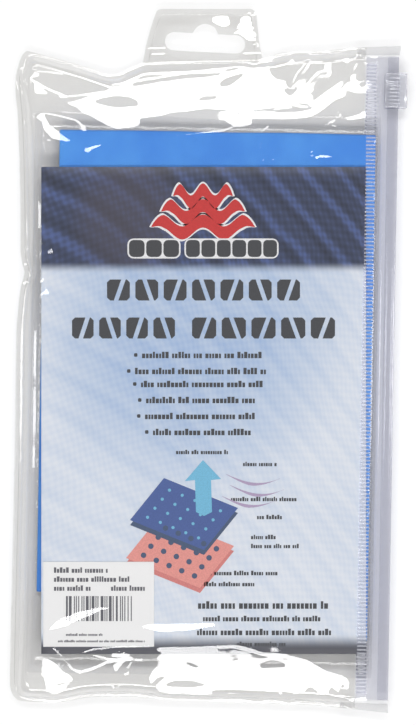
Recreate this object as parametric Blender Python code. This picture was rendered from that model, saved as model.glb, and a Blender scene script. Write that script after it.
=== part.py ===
"""A cooling neck wrap in its clear zip pouch.

The wrap is one long strip of soft foam cloth with a slit near its end, folded in five.
It lies in a thin inner bag behind a printed card, inside a clear vinyl pouch that has a hang
tab and a press zip with a slider. The pouch lies on its back film: +X runs across it towards
the zip, +Y up it towards the hang tab and +Z out of its front. All lengths are in metres.
Until the last step, x counts from the pouch's left edge and y from its lower edge.
"""

import math
from collections import namedtuple

import bmesh
import bpy
from mathutils import Matrix, Vector

# Neck wrap
WRAP_WIDTH = 0.0990
WRAP_LENGTH = 0.7450
CLOTH_WALL = 0.0010
LAYER_GAP = 0.0001
LAYERS = 5
SIDE_SLIP = 0.0049
SLIT_LENGTH = 0.0550
SLIT_WIDTH = 0.0008
SLIT_FROM_END = 0.0250

# Spare room round the folded wrap
WRAP_FROM_LEFT = 0.0142
WRAP_BELOW_TOP = 0.0286
WRAP_ABOVE_FOOT = 0.0317

# Pouch
FILM_WALL = 0.00025
WELD_WIDTH = 0.0022
CLEARANCE = 0.0003
LEFT_MARGIN = 0.0046
BOTTOM_MARGIN = 0.0125
TOP_MARGIN = 0.0210
EDGE_WAVER = 0.0045
TOP_DIP = 0.0107
BOTTOM_RISE = 0.0037
FOLD_HEIGHT = 0.0011

# Hang tab and its slot
TAB_FOOT_WIDTH = 0.0374
TAB_TOP_WIDTH = 0.0306
TAB_RISE = 0.0105
TAB_CORNER = 0.0017
TAB_OFF_MIDDLE = -0.00165
TAB_LEAN = 0.0014
TAB_WALL_SHARE = 0.9
SLOT_WIDTH = 0.0252
SLOT_HEIGHT = 0.0058
SLOT_BELOW_TAB_TOP = 0.0106
SLOT_TURN = math.radians(-2.0)
BUMP_RADIUS = 0.0041
BUMP_ABOVE_SLOT = 0.0019

# Zip
ZIP_WIDTH = 0.0105
TAPE_WALL = 0.0003
RAIL_WIDTH = 0.0034
RAIL_HALF_HEIGHT = 0.0015
RAIL_PARTING = 0.0003
RAIL_SHOULDER = 0.0010
TAPE_SLOPE = 0.0025
RIB_HEIGHT = 0.00025
RIB_WIDTH = 0.0007
TONGUE_WIDTH = 0.0007
TONGUE_DEPTH = 0.0009
END_WELD = 0.0028

# Slider
SLIDER_LENGTH = 0.0109
SLIDER_BELOW_TOP = 0.0083
SLIDER_PLATE = 0.0010
SLIDER_WEB = 0.0023
SLIDER_REACH = 0.0009
SLIDER_CHAMFER = 0.0006
GRIP_WIDTH = 0.0040
GRIP_HEIGHT = 0.0004
GRIP_PITCH = 0.00125

# Card and label
CARD_OVERHANG = 0.0026
CARD_HEIGHT = 0.1524
CARD_WALL = 0.0004
CARD_FROM_LEFT = 0.0100
CARD_FROM_BOTTOM = 0.0177
CARD_TURN = math.radians(1.0)
LABEL_WIDTH = 0.0347
LABEL_HEIGHT = 0.0266
LABEL_WALL = 0.0001
LABEL_FROM_CARD_LEFT = 0.0006
LABEL_FROM_CARD_BOTTOM = 0.0023

# Inner bag
BAG_WALL = 0.00012
BAG_SEAM = 0.0005
BAG_FOOT_SPARE = 0.0209
BAG_LEFT_SPARE = 0.0079
BAG_RIGHT_SPARE = 0.0016
BAG_TOP_SPARE = 0.0055
BAG_LEFT_MARGIN = 0.0023
BAG_BOTTOM_MARGIN = 0.0060
MOUTH_SHARE = 0.08

# Heights of the stack, from the back film up
BAG_IN_LOW = FILM_WALL + CLEARANCE + BAG_WALL
WRAP_LOW = BAG_IN_LOW + CLEARANCE
WRAP_TOP = WRAP_LOW + LAYERS * CLOTH_WALL + (LAYERS - 1) * LAYER_GAP
BAG_IN_TOP = WRAP_TOP + CLEARANCE
CARD_LOW = BAG_IN_TOP + BAG_WALL + CLEARANCE
LABEL_LOW = CARD_LOW + CARD_WALL + CLEARANCE
FILM_IN_TOP = LABEL_LOW + LABEL_WALL + CLEARANCE
SEAM = (FILM_IN_TOP + FILM_WALL) / 2

# Sizes and places across and up the pouch, from the folded wrap outwards
LAYER_LENGTH = WRAP_LENGTH / LAYERS
POUCH_WIDTH = WRAP_FROM_LEFT + WRAP_WIDTH + TAPE_SLOPE + RAIL_SHOULDER + RAIL_WIDTH
POUCH_HEIGHT = WRAP_ABOVE_FOOT + LAYER_LENGTH + WRAP_BELOW_TOP
CARD_WIDTH = WRAP_WIDTH + CARD_OVERHANG
BAG_LENGTH = LAYER_LENGTH + BAG_TOP_SPARE + BAG_FOOT_SPARE
TAB_FROM_LEFT = POUCH_WIDTH / 2 + TAB_OFF_MIDDLE
FILM_RIGHT = POUCH_WIDTH - ZIP_WIDTH
TAPE_LEFT = FILM_RIGHT + CLEARANCE
RAIL_LEFT = POUCH_WIDTH - RAIL_WIDTH
TONGUE_MIDDLE = POUCH_WIDTH - RAIL_WIDTH / 2

# How far each edge of the film wanders. along: share of the way along the edge;
# pull: inward, as a share of EDGE_WAVER, BOTTOM_RISE or TOP_DIP
EdgePoint = namedtuple("EdgePoint", "along pull")
LEFT_EDGE = (
    EdgePoint(0.000, 1.00),
    EdgePoint(0.009, 0.53),
    EdgePoint(0.017, 0.38),
    EdgePoint(0.078, 0.31),
    EdgePoint(0.232, 0.36),
    EdgePoint(0.431, 0.40),
    EdgePoint(0.547, 0.33),
    EdgePoint(0.585, 0.40),
    EdgePoint(0.639, 0.64),
    EdgePoint(0.659, 0.87),
    EdgePoint(0.685, 0.56),
    EdgePoint(0.800, 0.42),
    EdgePoint(0.877, 0.24),
    EdgePoint(0.911, 0.13),
    EdgePoint(0.937, 0.00),
    EdgePoint(0.962, 0.00),
    EdgePoint(0.985, 0.25),
    EdgePoint(1.000, 0.82),
)
BOTTOM_EDGE = (
    EdgePoint(0.000, 0.55),
    EdgePoint(0.109, 0.43),
    EdgePoint(0.158, 0.49),
    EdgePoint(0.193, 0.78),
    EdgePoint(0.301, 1.00),
    EdgePoint(0.510, 0.81),
    EdgePoint(0.770, 0.62),
    EdgePoint(0.901, 0.27),
    EdgePoint(1.000, 0.00),
)
TOP_EDGE = (
    EdgePoint(0.000, 0.28),
    EdgePoint(0.031, 0.34),
    EdgePoint(0.129, 0.64),
    EdgePoint(0.197, 0.85),
    EdgePoint(0.250, 1.00),
    EdgePoint(0.294, 0.79),
    EdgePoint(0.331, 0.60),
    EdgePoint(0.642, 0.47),
    EdgePoint(0.681, 0.33),
    EdgePoint(0.813, 0.19),
    EdgePoint(0.902, 0.05),
    EdgePoint(1.000, 0.00),
)

# Soft folds that stand up from the front film. across, up: the middle, as shares of the
# pouch; length, width: shares of its width; turn: degrees from +X; height: share of FOLD_HEIGHT
Fold = namedtuple("Fold", "across up length width turn height")
FRONT_FOLDS = (
    Fold(0.16, 0.905, 0.16, 0.06, -28, 0.8),
    Fold(0.42, 0.925, 0.26, 0.08, 12, 1.0),
    Fold(0.74, 0.915, 0.22, 0.07, 55, 0.9),
    Fold(0.82, 0.870, 0.20, 0.06, 18, 0.6),
    Fold(0.14, 0.045, 0.18, 0.06, -35, 0.7),
    Fold(0.47, 0.050, 0.24, 0.07, 6, 0.9),
    Fold(0.78, 0.048, 0.20, 0.06, 30, 0.8),
)

# The turns of the folded strip, from its front end to its back end. height: as a share of one
# layer's length, up from the wrap's nominal lower edge; slip: sideways, as a share of SIDE_SLIP
Turn = namedtuple("Turn", "height slip")
WRAP_TURNS = (
    Turn(-0.060, 0.0),
    Turn(1.000, 0.0),
    Turn(-0.006, 0.1),
    Turn(0.995, 0.0),
    Turn(0.032, 1.0),
)
SLIP_START = 0.06
SLIP_END = 0.48
LAYER_STEPS = 10
TURN_STEPS = 6

FILM_ROWS_LOW = (0.0, 0.0008, WELD_WIDTH, 0.0042, 0.0067, 0.0097, 0.0147)
FILM_ROWS_HIGH = (0.0232, 0.0182, 0.0132, 0.0092, 0.0062, 0.0042, WELD_WIDTH, 0.0008, 0.0)
FILM_ROWS_MIDDLE = (0.16, 0.24, 0.33, 0.43, 0.52, 0.585, 0.639, 0.659, 0.685, 0.74, 0.80)
FILM_COLUMNS_LEFT = (0.0, WELD_WIDTH, 0.0034, 0.0048, 0.0068)
FILM_COLUMNS_RIGHT = 16
BAG_COLUMNS_LEFT = (0.0, BAG_SEAM, 0.0010, 0.0018, BAG_SEAM + BAG_LEFT_MARGIN)
BAG_COLUMNS_RIGHT = (BAG_RIGHT_SPARE, 0.0008, BAG_SEAM, 0.0)
BAG_ROWS_LOW = (0.0, BAG_SEAM, 0.0018, 0.0035, BAG_SEAM + BAG_BOTTOM_MARGIN)
BAG_ROWS_HIGH = (BAG_TOP_SPARE, 0.0035, 0.0015, 0.0)
BAG_MIDDLE = 7
ARC_STEPS = 6


def smooth(share):
    """An even rise from 0 to 1, level at both ends."""
    share = min(max(share, 0.0), 1.0)
    return share * share * (3.0 - 2.0 * share)


def pillow(distance, margin):
    """The rise of a stuffed film from its seam: steep at the seam and level at the margin."""
    share = min(max(distance / margin, 0.0), 1.0)
    return 1.0 - (1.0 - share) ** 2


def wander(edge, along):
    """The pull of an edge table at a share of the way along it."""
    for low, high in zip(edge, edge[1:]):
        if along <= high.along:
            share = (along - low.along) / (high.along - low.along)
            return low.pull + (high.pull - low.pull) * max(share, 0.0)
    return edge[-1].pull


def left_edge(along):
    return EDGE_WAVER * wander(LEFT_EDGE, along)


def bottom_edge(x):
    return BOTTOM_RISE * wander(BOTTOM_EDGE, x / POUCH_WIDTH)


def top_edge(x):
    return POUCH_HEIGHT - TOP_DIP * wander(TOP_EDGE, x / POUCH_WIDTH)


def opening_share(x, y):
    """How far the pouch's films stand apart at a place, from 0 at a seam to 1 over the contents."""
    low, high = bottom_edge(x), top_edge(x)
    left = left_edge((y - low) / (high - low))
    share = pillow(x - left - WELD_WIDTH, LEFT_MARGIN)
    share *= pillow(y - low - WELD_WIDTH, BOTTOM_MARGIN)
    return share * pillow(high - y - WELD_WIDTH, TOP_MARGIN)


def fold_rise(x, y):
    """The height that the soft folds add to the front film."""
    total = 0.0
    for fold in FRONT_FOLDS:
        turn = math.radians(fold.turn)
        dx = x - fold.across * POUCH_WIDTH
        dy = y - fold.up * POUCH_HEIGHT
        along = (dx * math.cos(turn) + dy * math.sin(turn)) / (fold.length * POUCH_WIDTH)
        across = (dy * math.cos(turn) - dx * math.sin(turn)) / (fold.width * POUCH_WIDTH)
        total += fold.height * FOLD_HEIGHT * math.exp(-4.0 * (along * along + across * across))
    return total


def film_inner(x, y, side):
    """The height of the film's inner face: side is 1 for the front film, -1 for the back film."""
    share = opening_share(x, y)
    if side > 0:
        return SEAM + share * (FILM_IN_TOP - SEAM + fold_rise(x, y))
    return SEAM - pillow(share, 1.0) * (SEAM - FILM_WALL)


def add_object(name, mesh_builder, colour, roughness, alpha=1.0):
    """A mesh object with its own Principled material, under the root empty."""
    mesh = bpy.data.meshes.new(name)
    mesh_builder.to_mesh(mesh)
    mesh_builder.free()
    made = bpy.data.objects.new(name, mesh)
    bpy.context.scene.collection.objects.link(made)
    material = bpy.data.materials.new(name)
    material.use_nodes = True
    shader = material.node_tree.nodes["Principled BSDF"]
    shader.inputs["Base Color"].default_value = (*colour, 1.0)
    shader.inputs["Roughness"].default_value = roughness
    shader.inputs["Metallic"].default_value = 0.0
    shader.inputs["Alpha"].default_value = alpha
    mesh.materials.append(material)
    return made


def add_helper(name, mesh_builder):
    """A solid that only a Boolean reads."""
    helper = add_object(name, mesh_builder, (0.8, 0.8, 0.8), 0.5)
    helper.hide_render = True
    helper.display_type = "WIRE"
    return helper


def join_or_cut(target, helper, operation):
    """Unites a helper with a piece, or cuts it out, with an exact Boolean."""
    modifier = target.modifiers.new(helper.name, "BOOLEAN")
    modifier.operation = operation
    modifier.solver = "EXACT"
    modifier.object = helper


def closed(builder):
    """Turns every face of a closed mesh outwards."""
    bmesh.ops.recalc_face_normals(builder, faces=builder.faces)
    return builder


def prism(outline, low, high):
    """An outline of (x, y) points, drawn out from one height to another."""
    builder = bmesh.new()
    bottom = [builder.verts.new((x, y, low)) for x, y in outline]
    top = [builder.verts.new((x, y, high)) for x, y in outline]
    builder.faces.new(bottom)
    builder.faces.new(top)
    for here in range(len(outline)):
        after = (here + 1) % len(outline)
        builder.faces.new((bottom[here], bottom[after], top[after], top[here]))
    return closed(builder)


def loft(sections):
    """A closed solid through sections of equally many (x, y, z) points."""
    builder = bmesh.new()
    rings = [[builder.verts.new(point) for point in section] for section in sections]
    for first, second in zip(rings, rings[1:]):
        for here in range(len(first)):
            after = (here + 1) % len(first)
            builder.faces.new((first[here], first[after], second[after], second[here]))
    builder.faces.new(rings[0])
    builder.faces.new(rings[-1])
    return closed(builder)


def arc(centre_x, centre_y, radius, start, end):
    """Points of an arc, its angles in degrees."""
    angles = [
        math.radians(start + (end - start) * step / ARC_STEPS)
        for step in range(ARC_STEPS + 1)
    ]
    return [
        (centre_x + radius * math.cos(angle), centre_y + radius * math.sin(angle))
        for angle in angles
    ]


def pocket(place, columns, rows, sealed, band):
    """A hollow film pocket of two walls, joined where it is sealed and open on one side.

    place(i, j) gives x, y and the heights of the outer front, inner front, inner back and
    outer back faces. sealed holds the names of the closed sides, and band the number of
    cells of solid weld inside each.
    """
    builder = bmesh.new()
    last_column, last_row = columns - 1, rows - 1
    first_i = band.get("left", 0)
    last_i = last_column - band.get("right", 0)
    first_j = band.get("bottom", 0)
    last_j = last_row - band.get("top", 0)
    on_seam = {"left": first_i, "right": last_i, "bottom": first_j, "top": last_j}
    outer_front, outer_back, inner_front, inner_back = {}, {}, {}, {}
    for i in range(columns):
        for j in range(rows):
            x, y, front, front_in, back_in, back = place(i, j)
            outer_front[i, j] = builder.verts.new((x, y, front))
            outer_back[i, j] = builder.verts.new((x, y, back))
            if not (first_i <= i <= last_i and first_j <= j <= last_j):
                continue
            seam = any(
                (side in ("left", "right") and i == on_seam[side])
                or (side in ("bottom", "top") and j == on_seam[side])
                for side in sealed
            )
            inner_front[i, j] = builder.verts.new((x, y, SEAM if seam else front_in))
            inner_back[i, j] = (
                inner_front[i, j] if seam else builder.verts.new((x, y, back_in))
            )

    def quad(table, i, j):
        corners = (table[i, j], table[i + 1, j], table[i + 1, j + 1], table[i, j + 1])
        builder.faces.new(corners)

    for i in range(last_column):
        for j in range(last_row):
            quad(outer_front, i, j)
            quad(outer_back, i, j)
    for i in range(first_i, last_i):
        for j in range(first_j, last_j):
            quad(inner_front, i, j)
            quad(inner_back, i, j)

    sides = {
        "left": [(0, j) for j in range(rows)],
        "right": [(last_column, j) for j in range(rows)],
        "bottom": [(i, 0) for i in range(columns)],
        "top": [(i, last_row) for i in range(columns)],
    }
    for side, cells in sides.items():
        for here, after in zip(cells, cells[1:]):
            front = [outer_front[here], outer_front[after]]
            back = [outer_back[after], outer_back[here]]
            if side not in sealed and here in inner_front and after in inner_front:
                builder.faces.new(front + [inner_front[after], inner_front[here]])
                builder.faces.new(back + [inner_back[here], inner_back[after]])
                continue
            middle = [inner_front[after]] if side not in sealed and after in inner_front else []
            end = [inner_front[here]] if side not in sealed and here in inner_front else []
            builder.faces.new(front + middle + back + end)
    return closed(builder)


def film_rows():
    """Each row of the film as (metres from the lower edge, share of the height)."""
    low = [(offset, 0.0) for offset in FILM_ROWS_LOW]
    middle = [(0.0, share) for share in FILM_ROWS_MIDDLE]
    high = [(-offset, 1.0) for offset in FILM_ROWS_HIGH]
    return low + middle + high


def build_pouch():
    """The front and back films, welded along three sides, with the hang tab and end welds."""
    rows = film_rows()
    left_columns = len(FILM_COLUMNS_LEFT)
    columns = left_columns + FILM_COLUMNS_RIGHT

    def place(i, j):
        offset, share = rows[j]
        left = left_edge(offset / POUCH_HEIGHT + share)
        if i < left_columns:
            x = left + FILM_COLUMNS_LEFT[i]
        else:
            start = left + FILM_COLUMNS_LEFT[-1]
            x = start + (FILM_RIGHT - start) * (i - left_columns + 1) / FILM_COLUMNS_RIGHT
        low, high = bottom_edge(x), top_edge(x)
        y = low + offset + share * (high - low)
        front, back = film_inner(x, y, 1), film_inner(x, y, -1)
        return x, y, front + FILM_WALL, front, back, back - FILM_WALL

    sealed = ("left", "bottom", "top")
    band = {"left": 1, "bottom": 2, "top": 2}
    pouch = add_object(
        "pouch_film",
        pocket(place, columns, len(rows), sealed, band),
        (0.86, 0.87, 0.88),
        0.08,
        0.3,
    )
    half = FILM_WALL * TAB_WALL_SHARE
    join_or_cut(pouch, add_helper("hang_tab", prism(tab_outline(), SEAM - half, SEAM + half)), "UNION")
    for name, edge, inward in (("top_end_weld", top_edge, -1), ("bottom_end_weld", bottom_edge, 1)):
        near = FILM_RIGHT - 2 * WELD_WIDTH
        outline = [
            (near, edge(near) + inward * FILM_WALL),
            (POUCH_WIDTH, edge(POUCH_WIDTH)),
            (POUCH_WIDTH, edge(POUCH_WIDTH) + inward * END_WELD),
            (FILM_RIGHT + CLEARANCE, edge(FILM_RIGHT) + inward * END_WELD),
            (near, edge(near) + inward * (WELD_WIDTH - FILM_WALL)),
        ]
        join_or_cut(pouch, add_helper(name, prism(outline, SEAM - half, SEAM + half)), "UNION")
    cutter = add_helper("slot_cutter", prism(slot_outline(), SEAM - SLOT_HEIGHT, SEAM + SLOT_HEIGHT))
    join_or_cut(pouch, cutter, "DIFFERENCE")


def tab_outline():
    """The hang tab, from inside the top weld to its two round upper corners."""
    foot_left = TAB_FROM_LEFT - TAB_FOOT_WIDTH / 2
    foot_right = TAB_FROM_LEFT + TAB_FOOT_WIDTH / 2
    middle = TAB_FROM_LEFT + TAB_LEAN
    high = POUCH_HEIGHT + TAB_RISE - TAB_CORNER
    side = TAB_TOP_WIDTH / 2 - TAB_CORNER
    sink = 0.75 * WELD_WIDTH
    outline = [
        (foot_left, top_edge(foot_left) - sink),
        (foot_right, top_edge(foot_right) - sink),
        (foot_right, top_edge(foot_right)),
    ]
    outline += arc(middle + side, high, TAB_CORNER, 0, 90)
    outline += arc(middle - side, high, TAB_CORNER, 90, 180)
    outline.append((foot_left, top_edge(foot_left)))
    return outline


def slot_outline():
    """A hanging slot with round ends and a round rise over its middle for the hook."""
    end = SLOT_HEIGHT / 2
    reach = SLOT_WIDTH / 2 - end
    lift = math.degrees(math.asin((end - BUMP_ABOVE_SLOT) / BUMP_RADIUS))
    points = arc(reach, 0.0, end, -90, 90)
    points += arc(0.0, BUMP_ABOVE_SLOT, BUMP_RADIUS, lift, 180 - lift)
    points += arc(-reach, 0.0, end, 90, 270)
    middle = Vector((
        TAB_FROM_LEFT + TAB_LEAN / 2,
        POUCH_HEIGHT + TAB_RISE - SLOT_BELOW_TAB_TOP,
    ))
    turn = Matrix.Rotation(SLOT_TURN, 2)
    return [tuple(middle + turn @ Vector(point)) for point in points]


def zip_ends():
    """Where the zip starts and ends along the pouch, clear of the end welds."""
    low = max(bottom_edge(FILM_RIGHT), bottom_edge(POUCH_WIDTH)) + END_WELD + CLEARANCE
    high = min(top_edge(FILM_RIGHT), top_edge(POUCH_WIDTH)) - END_WELD - CLEARANCE
    return low, high


def tape_points(y, side):
    """The tape's outer and inner faces at one place along the zip, from the film to the rail."""
    slope_end = RAIL_LEFT - RAIL_SHOULDER
    slope_start = slope_end - TAPE_SLOPE
    shares = (0.0, 0.25, 0.5, 0.75, 1.0)
    across = [TAPE_LEFT] + [slope_start + share * TAPE_SLOPE for share in shares]
    rail = SEAM + side * RAIL_HALF_HEIGHT
    outer = []
    for x in across:
        film = film_inner(min(x, slope_start), y, side) + side * FILM_WALL
        share = smooth((x - slope_start) / TAPE_SLOPE)
        outer.append((x, film + (rail - film) * share))
    inner = [(x, z - side * TAPE_WALL) for x, z in outer]
    return outer, inner


def rail_outer(side):
    """The rail's outer face with its two ribs, left to right."""
    level = SEAM + side * RAIL_HALF_HEIGHT
    raised = level + side * RIB_HEIGHT
    points = [(RAIL_LEFT, level)]
    for share in (0.22, 0.72):
        middle = RAIL_LEFT + share * RAIL_WIDTH
        points += [
            (middle - RIB_WIDTH / 2, level),
            (middle - RIB_WIDTH / 4, raised),
            (middle + RIB_WIDTH / 4, raised),
            (middle + RIB_WIDTH / 2, level),
        ]
    points.append((POUCH_WIDTH, level))
    return points


def build_zip():
    """The front strip with its tongue, and the back strip with the groove that it presses into."""
    low, high = zip_ends()
    steps = 22
    for name, side in (("zip_front_strip", 1), ("zip_back_strip", -1)):
        half = TONGUE_WIDTH / 2 + (0.0 if side > 0 else CLEARANCE)
        tip = SEAM - TONGUE_DEPTH - (0.0 if side > 0 else CLEARANCE)
        parting = SEAM + side * RAIL_PARTING / 2
        under = [
            (POUCH_WIDTH, parting),
            (TONGUE_MIDDLE + half, parting),
            (TONGUE_MIDDLE + half, tip),
            (TONGUE_MIDDLE - half, tip),
            (TONGUE_MIDDLE - half, parting),
            (RAIL_LEFT, parting),
        ]
        sections = []
        for step in range(steps + 1):
            share = step / steps
            y = low + (high - low) * (share + 0.08 * math.sin(2 * math.pi * (share + 0.5)))
            outer, inner = tape_points(y, side)
            inner.append((RAIL_LEFT, inner[-1][1]))
            section = outer + rail_outer(side) + under + inner[::-1]
            sections.append([(x, y, z) for x, z in section])
        add_object(name, loft(sections), (0.72, 0.73, 0.78), 0.2, 0.6)


def build_slider():
    """The slider: a channel that clips over both rails, with a ribbed grip on its face."""
    high = zip_ends()[1] + CLEARANCE - SLIDER_BELOW_TOP + END_WELD
    low = high - SLIDER_LENGTH
    left = RAIL_LEFT - SLIDER_REACH
    inner_right = POUCH_WIDTH + CLEARANCE
    right = inner_right + SLIDER_WEB
    inner = RAIL_HALF_HEIGHT + RIB_HEIGHT + CLEARANCE
    outer = inner + SLIDER_PLATE
    cut = SLIDER_CHAMFER
    outline = [
        (left, SEAM - outer),
        (right - cut, SEAM - outer),
        (right, SEAM - outer + cut),
        (right, SEAM + outer - cut),
        (right - cut, SEAM + outer),
        (left, SEAM + outer),
        (left, SEAM + inner),
        (inner_right, SEAM + inner),
        (inner_right, SEAM - inner),
        (left, SEAM - inner),
    ]
    sections = [[(x, y, z) for x, z in outline] for y in (low, high)]
    slider = add_object("zip_slider", loft(sections), (0.80, 0.81, 0.86), 0.15, 0.7)

    grip_left = (left + right - GRIP_WIDTH) / 2
    count = int((SLIDER_LENGTH - GRIP_PITCH) / GRIP_PITCH)
    start = (low + high - count * GRIP_PITCH) / 2
    base = SEAM + outer - SLIDER_PLATE / 2
    profile = [(start, base)]
    for ridge in range(count):
        y = start + ridge * GRIP_PITCH
        top = SEAM + outer + GRIP_HEIGHT
        foot = SEAM + outer + GRIP_HEIGHT / 5
        profile += [
            (y, foot),
            (y + 0.25 * GRIP_PITCH, top),
            (y + 0.65 * GRIP_PITCH, top),
            (y + 0.90 * GRIP_PITCH, foot),
        ]
    profile.append((start + count * GRIP_PITCH, base))
    sections = [[(x, y, z) for y, z in profile] for x in (grip_left, grip_left + GRIP_WIDTH)]
    join_or_cut(slider, add_helper("slider_grip", loft(sections)), "UNION")


def strip_path():
    """The folded strip's middle line, front end to back end, as (y, z, height along, turn, slip).

    turn is the angle of the strip's outward normal from +Z, and slip its sideways place.
    """
    pitch = CLOTH_WALL + LAYER_GAP
    radius = pitch / 2
    base = WRAP_ABOVE_FOOT
    heights = [base + turn.height * LAYER_LENGTH for turn in WRAP_TURNS]
    slips = [turn.slip for turn in WRAP_TURNS]
    used = 0.0
    for layer, (here, after) in enumerate(zip(heights, heights[1:])):
        rounds = 1 if layer == 0 else 2
        used += abs(after - here) - rounds * radius + math.pi * radius
    heights.append(heights[-1] + radius + WRAP_LENGTH - used)
    slips.append(0.0)
    path = []
    for layer in range(LAYERS):
        z = WRAP_TOP - CLOTH_WALL / 2 - layer * pitch
        way = 1 if layer % 2 == 0 else -1
        start = heights[layer] + (way * radius if layer else 0.0)
        end = heights[layer + 1] - (way * radius if layer < LAYERS - 1 else 0.0)
        for step in range(LAYER_STEPS + 1):
            y = start + (end - start) * step / LAYER_STEPS
            low_slip, high_slip = slips[layer : layer + 2][::way]
            down = (base + LAYER_LENGTH - y) / LAYER_LENGTH
            ease = smooth((down - SLIP_START) / (SLIP_END - SLIP_START))
            path.append((y, z, 0.0 if way > 0 else math.pi, high_slip + (low_slip - high_slip) * ease))
        if layer == LAYERS - 1:
            break
        for step in range(1, TURN_STEPS):
            turn = math.pi * step / TURN_STEPS
            y = end + way * radius * math.sin(turn)
            depth = z - radius + radius * math.cos(turn)
            angle = turn if way > 0 else math.pi - turn
            path.append((y, depth, angle, slips[layer + 1]))
    return path


def build_wrap():
    """The long strip folded in five, with the slit that its other end is pulled through."""
    sections = []
    for y, z, angle, slip in strip_path():
        left = WRAP_FROM_LEFT - SIDE_SLIP * slip
        right = left + WRAP_WIDTH
        dy = CLOTH_WALL / 2 * math.sin(angle)
        dz = CLOTH_WALL / 2 * math.cos(angle)
        sections.append([
            (left, y - dy, z - dz),
            (right, y - dy, z - dz),
            (right, y + dy, z + dz),
            (left, y + dy, z + dz),
        ])
    wrap = add_object("neck_wrap", loft(sections), (0.10, 0.33, 0.80), 0.75)
    end = max(point[1] for point in sections[-1])
    middle = WRAP_FROM_LEFT + WRAP_WIDTH / 2
    outline = [
        (middle - SLIT_WIDTH / 2, end - SLIT_FROM_END - SLIT_LENGTH),
        (middle + SLIT_WIDTH / 2, end - SLIT_FROM_END - SLIT_LENGTH),
        (middle + SLIT_WIDTH / 2, end - SLIT_FROM_END),
        (middle - SLIT_WIDTH / 2, end - SLIT_FROM_END),
    ]
    top = WRAP_LOW + CLOTH_WALL + LAYER_GAP / 2
    join_or_cut(wrap, add_helper("slit_cutter", prism(outline, WRAP_LOW - CLEARANCE, top)), "DIFFERENCE")


def build_inner_bag():
    """The thin bag round the wrap, sealed along its sides and foot and open at its mouth."""
    left = WRAP_FROM_LEFT - BAG_LEFT_SPARE
    right = WRAP_FROM_LEFT + WRAP_WIDTH + BAG_RIGHT_SPARE
    high = POUCH_HEIGHT - WRAP_BELOW_TOP + BAG_TOP_SPARE
    low = high - BAG_LENGTH

    def stations(start, end, near, far):
        span_start, span_end = start + near[-1], end - far[0]
        middle = [
            span_start + (span_end - span_start) * step / BAG_MIDDLE
            for step in range(1, BAG_MIDDLE)
        ]
        return [start + offset for offset in near] + middle + [end - offset for offset in far]

    across = stations(left, right, BAG_COLUMNS_LEFT, BAG_COLUMNS_RIGHT)
    along = stations(low, high, BAG_ROWS_LOW, BAG_ROWS_HIGH)

    def place(i, j):
        x, y = across[i], along[j]
        share = pillow(x - left - BAG_SEAM, BAG_LEFT_MARGIN)
        share *= pillow(right - x - BAG_SEAM, BAG_RIGHT_SPARE - BAG_SEAM)
        share *= pillow(y - low - BAG_SEAM, BAG_BOTTOM_MARGIN)
        share *= MOUTH_SHARE + (1 - MOUTH_SHARE) * pillow(high - y, BAG_TOP_SPARE)
        front = SEAM + share * (BAG_IN_TOP - SEAM)
        back = SEAM - share * (SEAM - BAG_IN_LOW)
        return x, y, front + BAG_WALL, front, back, back - BAG_WALL

    sealed = ("left", "right", "bottom")
    builder = pocket(place, len(across), len(along), sealed, dict.fromkeys(sealed, 1))
    add_object("inner_bag", builder, (0.80, 0.82, 0.85), 0.15, 0.3)


def card_point(x, y):
    """A point of the card, counted from its own lower left corner, in the pouch."""
    middle = Vector((CARD_FROM_LEFT + CARD_WIDTH / 2, CARD_FROM_BOTTOM + CARD_HEIGHT / 2))
    offset = Vector((x - CARD_WIDTH / 2, y - CARD_HEIGHT / 2))
    return tuple(middle + Matrix.Rotation(CARD_TURN, 2) @ offset)


def build_card():
    """The printed card in front of the inner bag, and the paper label stuck on it."""
    corners = ((0.0, 0.0), (CARD_WIDTH, 0.0), (CARD_WIDTH, CARD_HEIGHT), (0.0, CARD_HEIGHT))
    outline = [card_point(x, y) for x, y in corners]
    add_object("card", prism(outline, CARD_LOW, CARD_LOW + CARD_WALL), (0.55, 0.62, 0.75), 0.45)
    outline = [
        card_point(
            LABEL_FROM_CARD_LEFT + x / CARD_WIDTH * LABEL_WIDTH,
            LABEL_FROM_CARD_BOTTOM + y / CARD_HEIGHT * LABEL_HEIGHT,
        )
        for x, y in corners
    ]
    add_object("label", prism(outline, LABEL_LOW, LABEL_LOW + LABEL_WALL), (0.93, 0.93, 0.94), 0.5)


def centre_on_origin():
    """Hangs every piece on one empty and puts the whole over the origin, standing on z = 0."""
    bpy.context.view_layer.update()
    graph = bpy.context.evaluated_depsgraph_get()
    points = []
    for made in bpy.data.objects:
        if made.type == "MESH" and not made.hide_render:
            points += [Vector(corner) for corner in made.evaluated_get(graph).bound_box]
    middle = [(min(p[k] for p in points) + max(p[k] for p in points)) / 2 for k in (0, 1)]
    floor = min(p.z for p in points)
    root = bpy.data.objects.new("pouch_origin", None)
    bpy.context.scene.collection.objects.link(root)
    for made in bpy.data.objects:
        if made.type == "MESH":
            made.parent = root
    root.location = (-middle[0], -middle[1], -floor)


def main():
    for old in list(bpy.data.objects):
        bpy.data.objects.remove(old, do_unlink=True)
    build_pouch()
    build_zip()
    build_slider()
    build_inner_bag()
    build_wrap()
    build_card()
    centre_on_origin()


main()
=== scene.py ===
"""The looks of a cooling neck wrap in its clear zip pouch.

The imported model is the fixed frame. Each sub-assembly below is a class that builds its meshes
round that frame and dresses them with procedural finishes. Lengths are in metres. Places read
from the photograph are pixels of its 416 by 725 frame, turned into metres by PhotoScale.
"""

from __future__ import annotations

import logging
import math
import random
from collections.abc import Sequence
from dataclasses import dataclass, field
from enum import Enum

import bmesh
import bpy
import numpy as np
from mathutils import Matrix, Vector, noise


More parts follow.
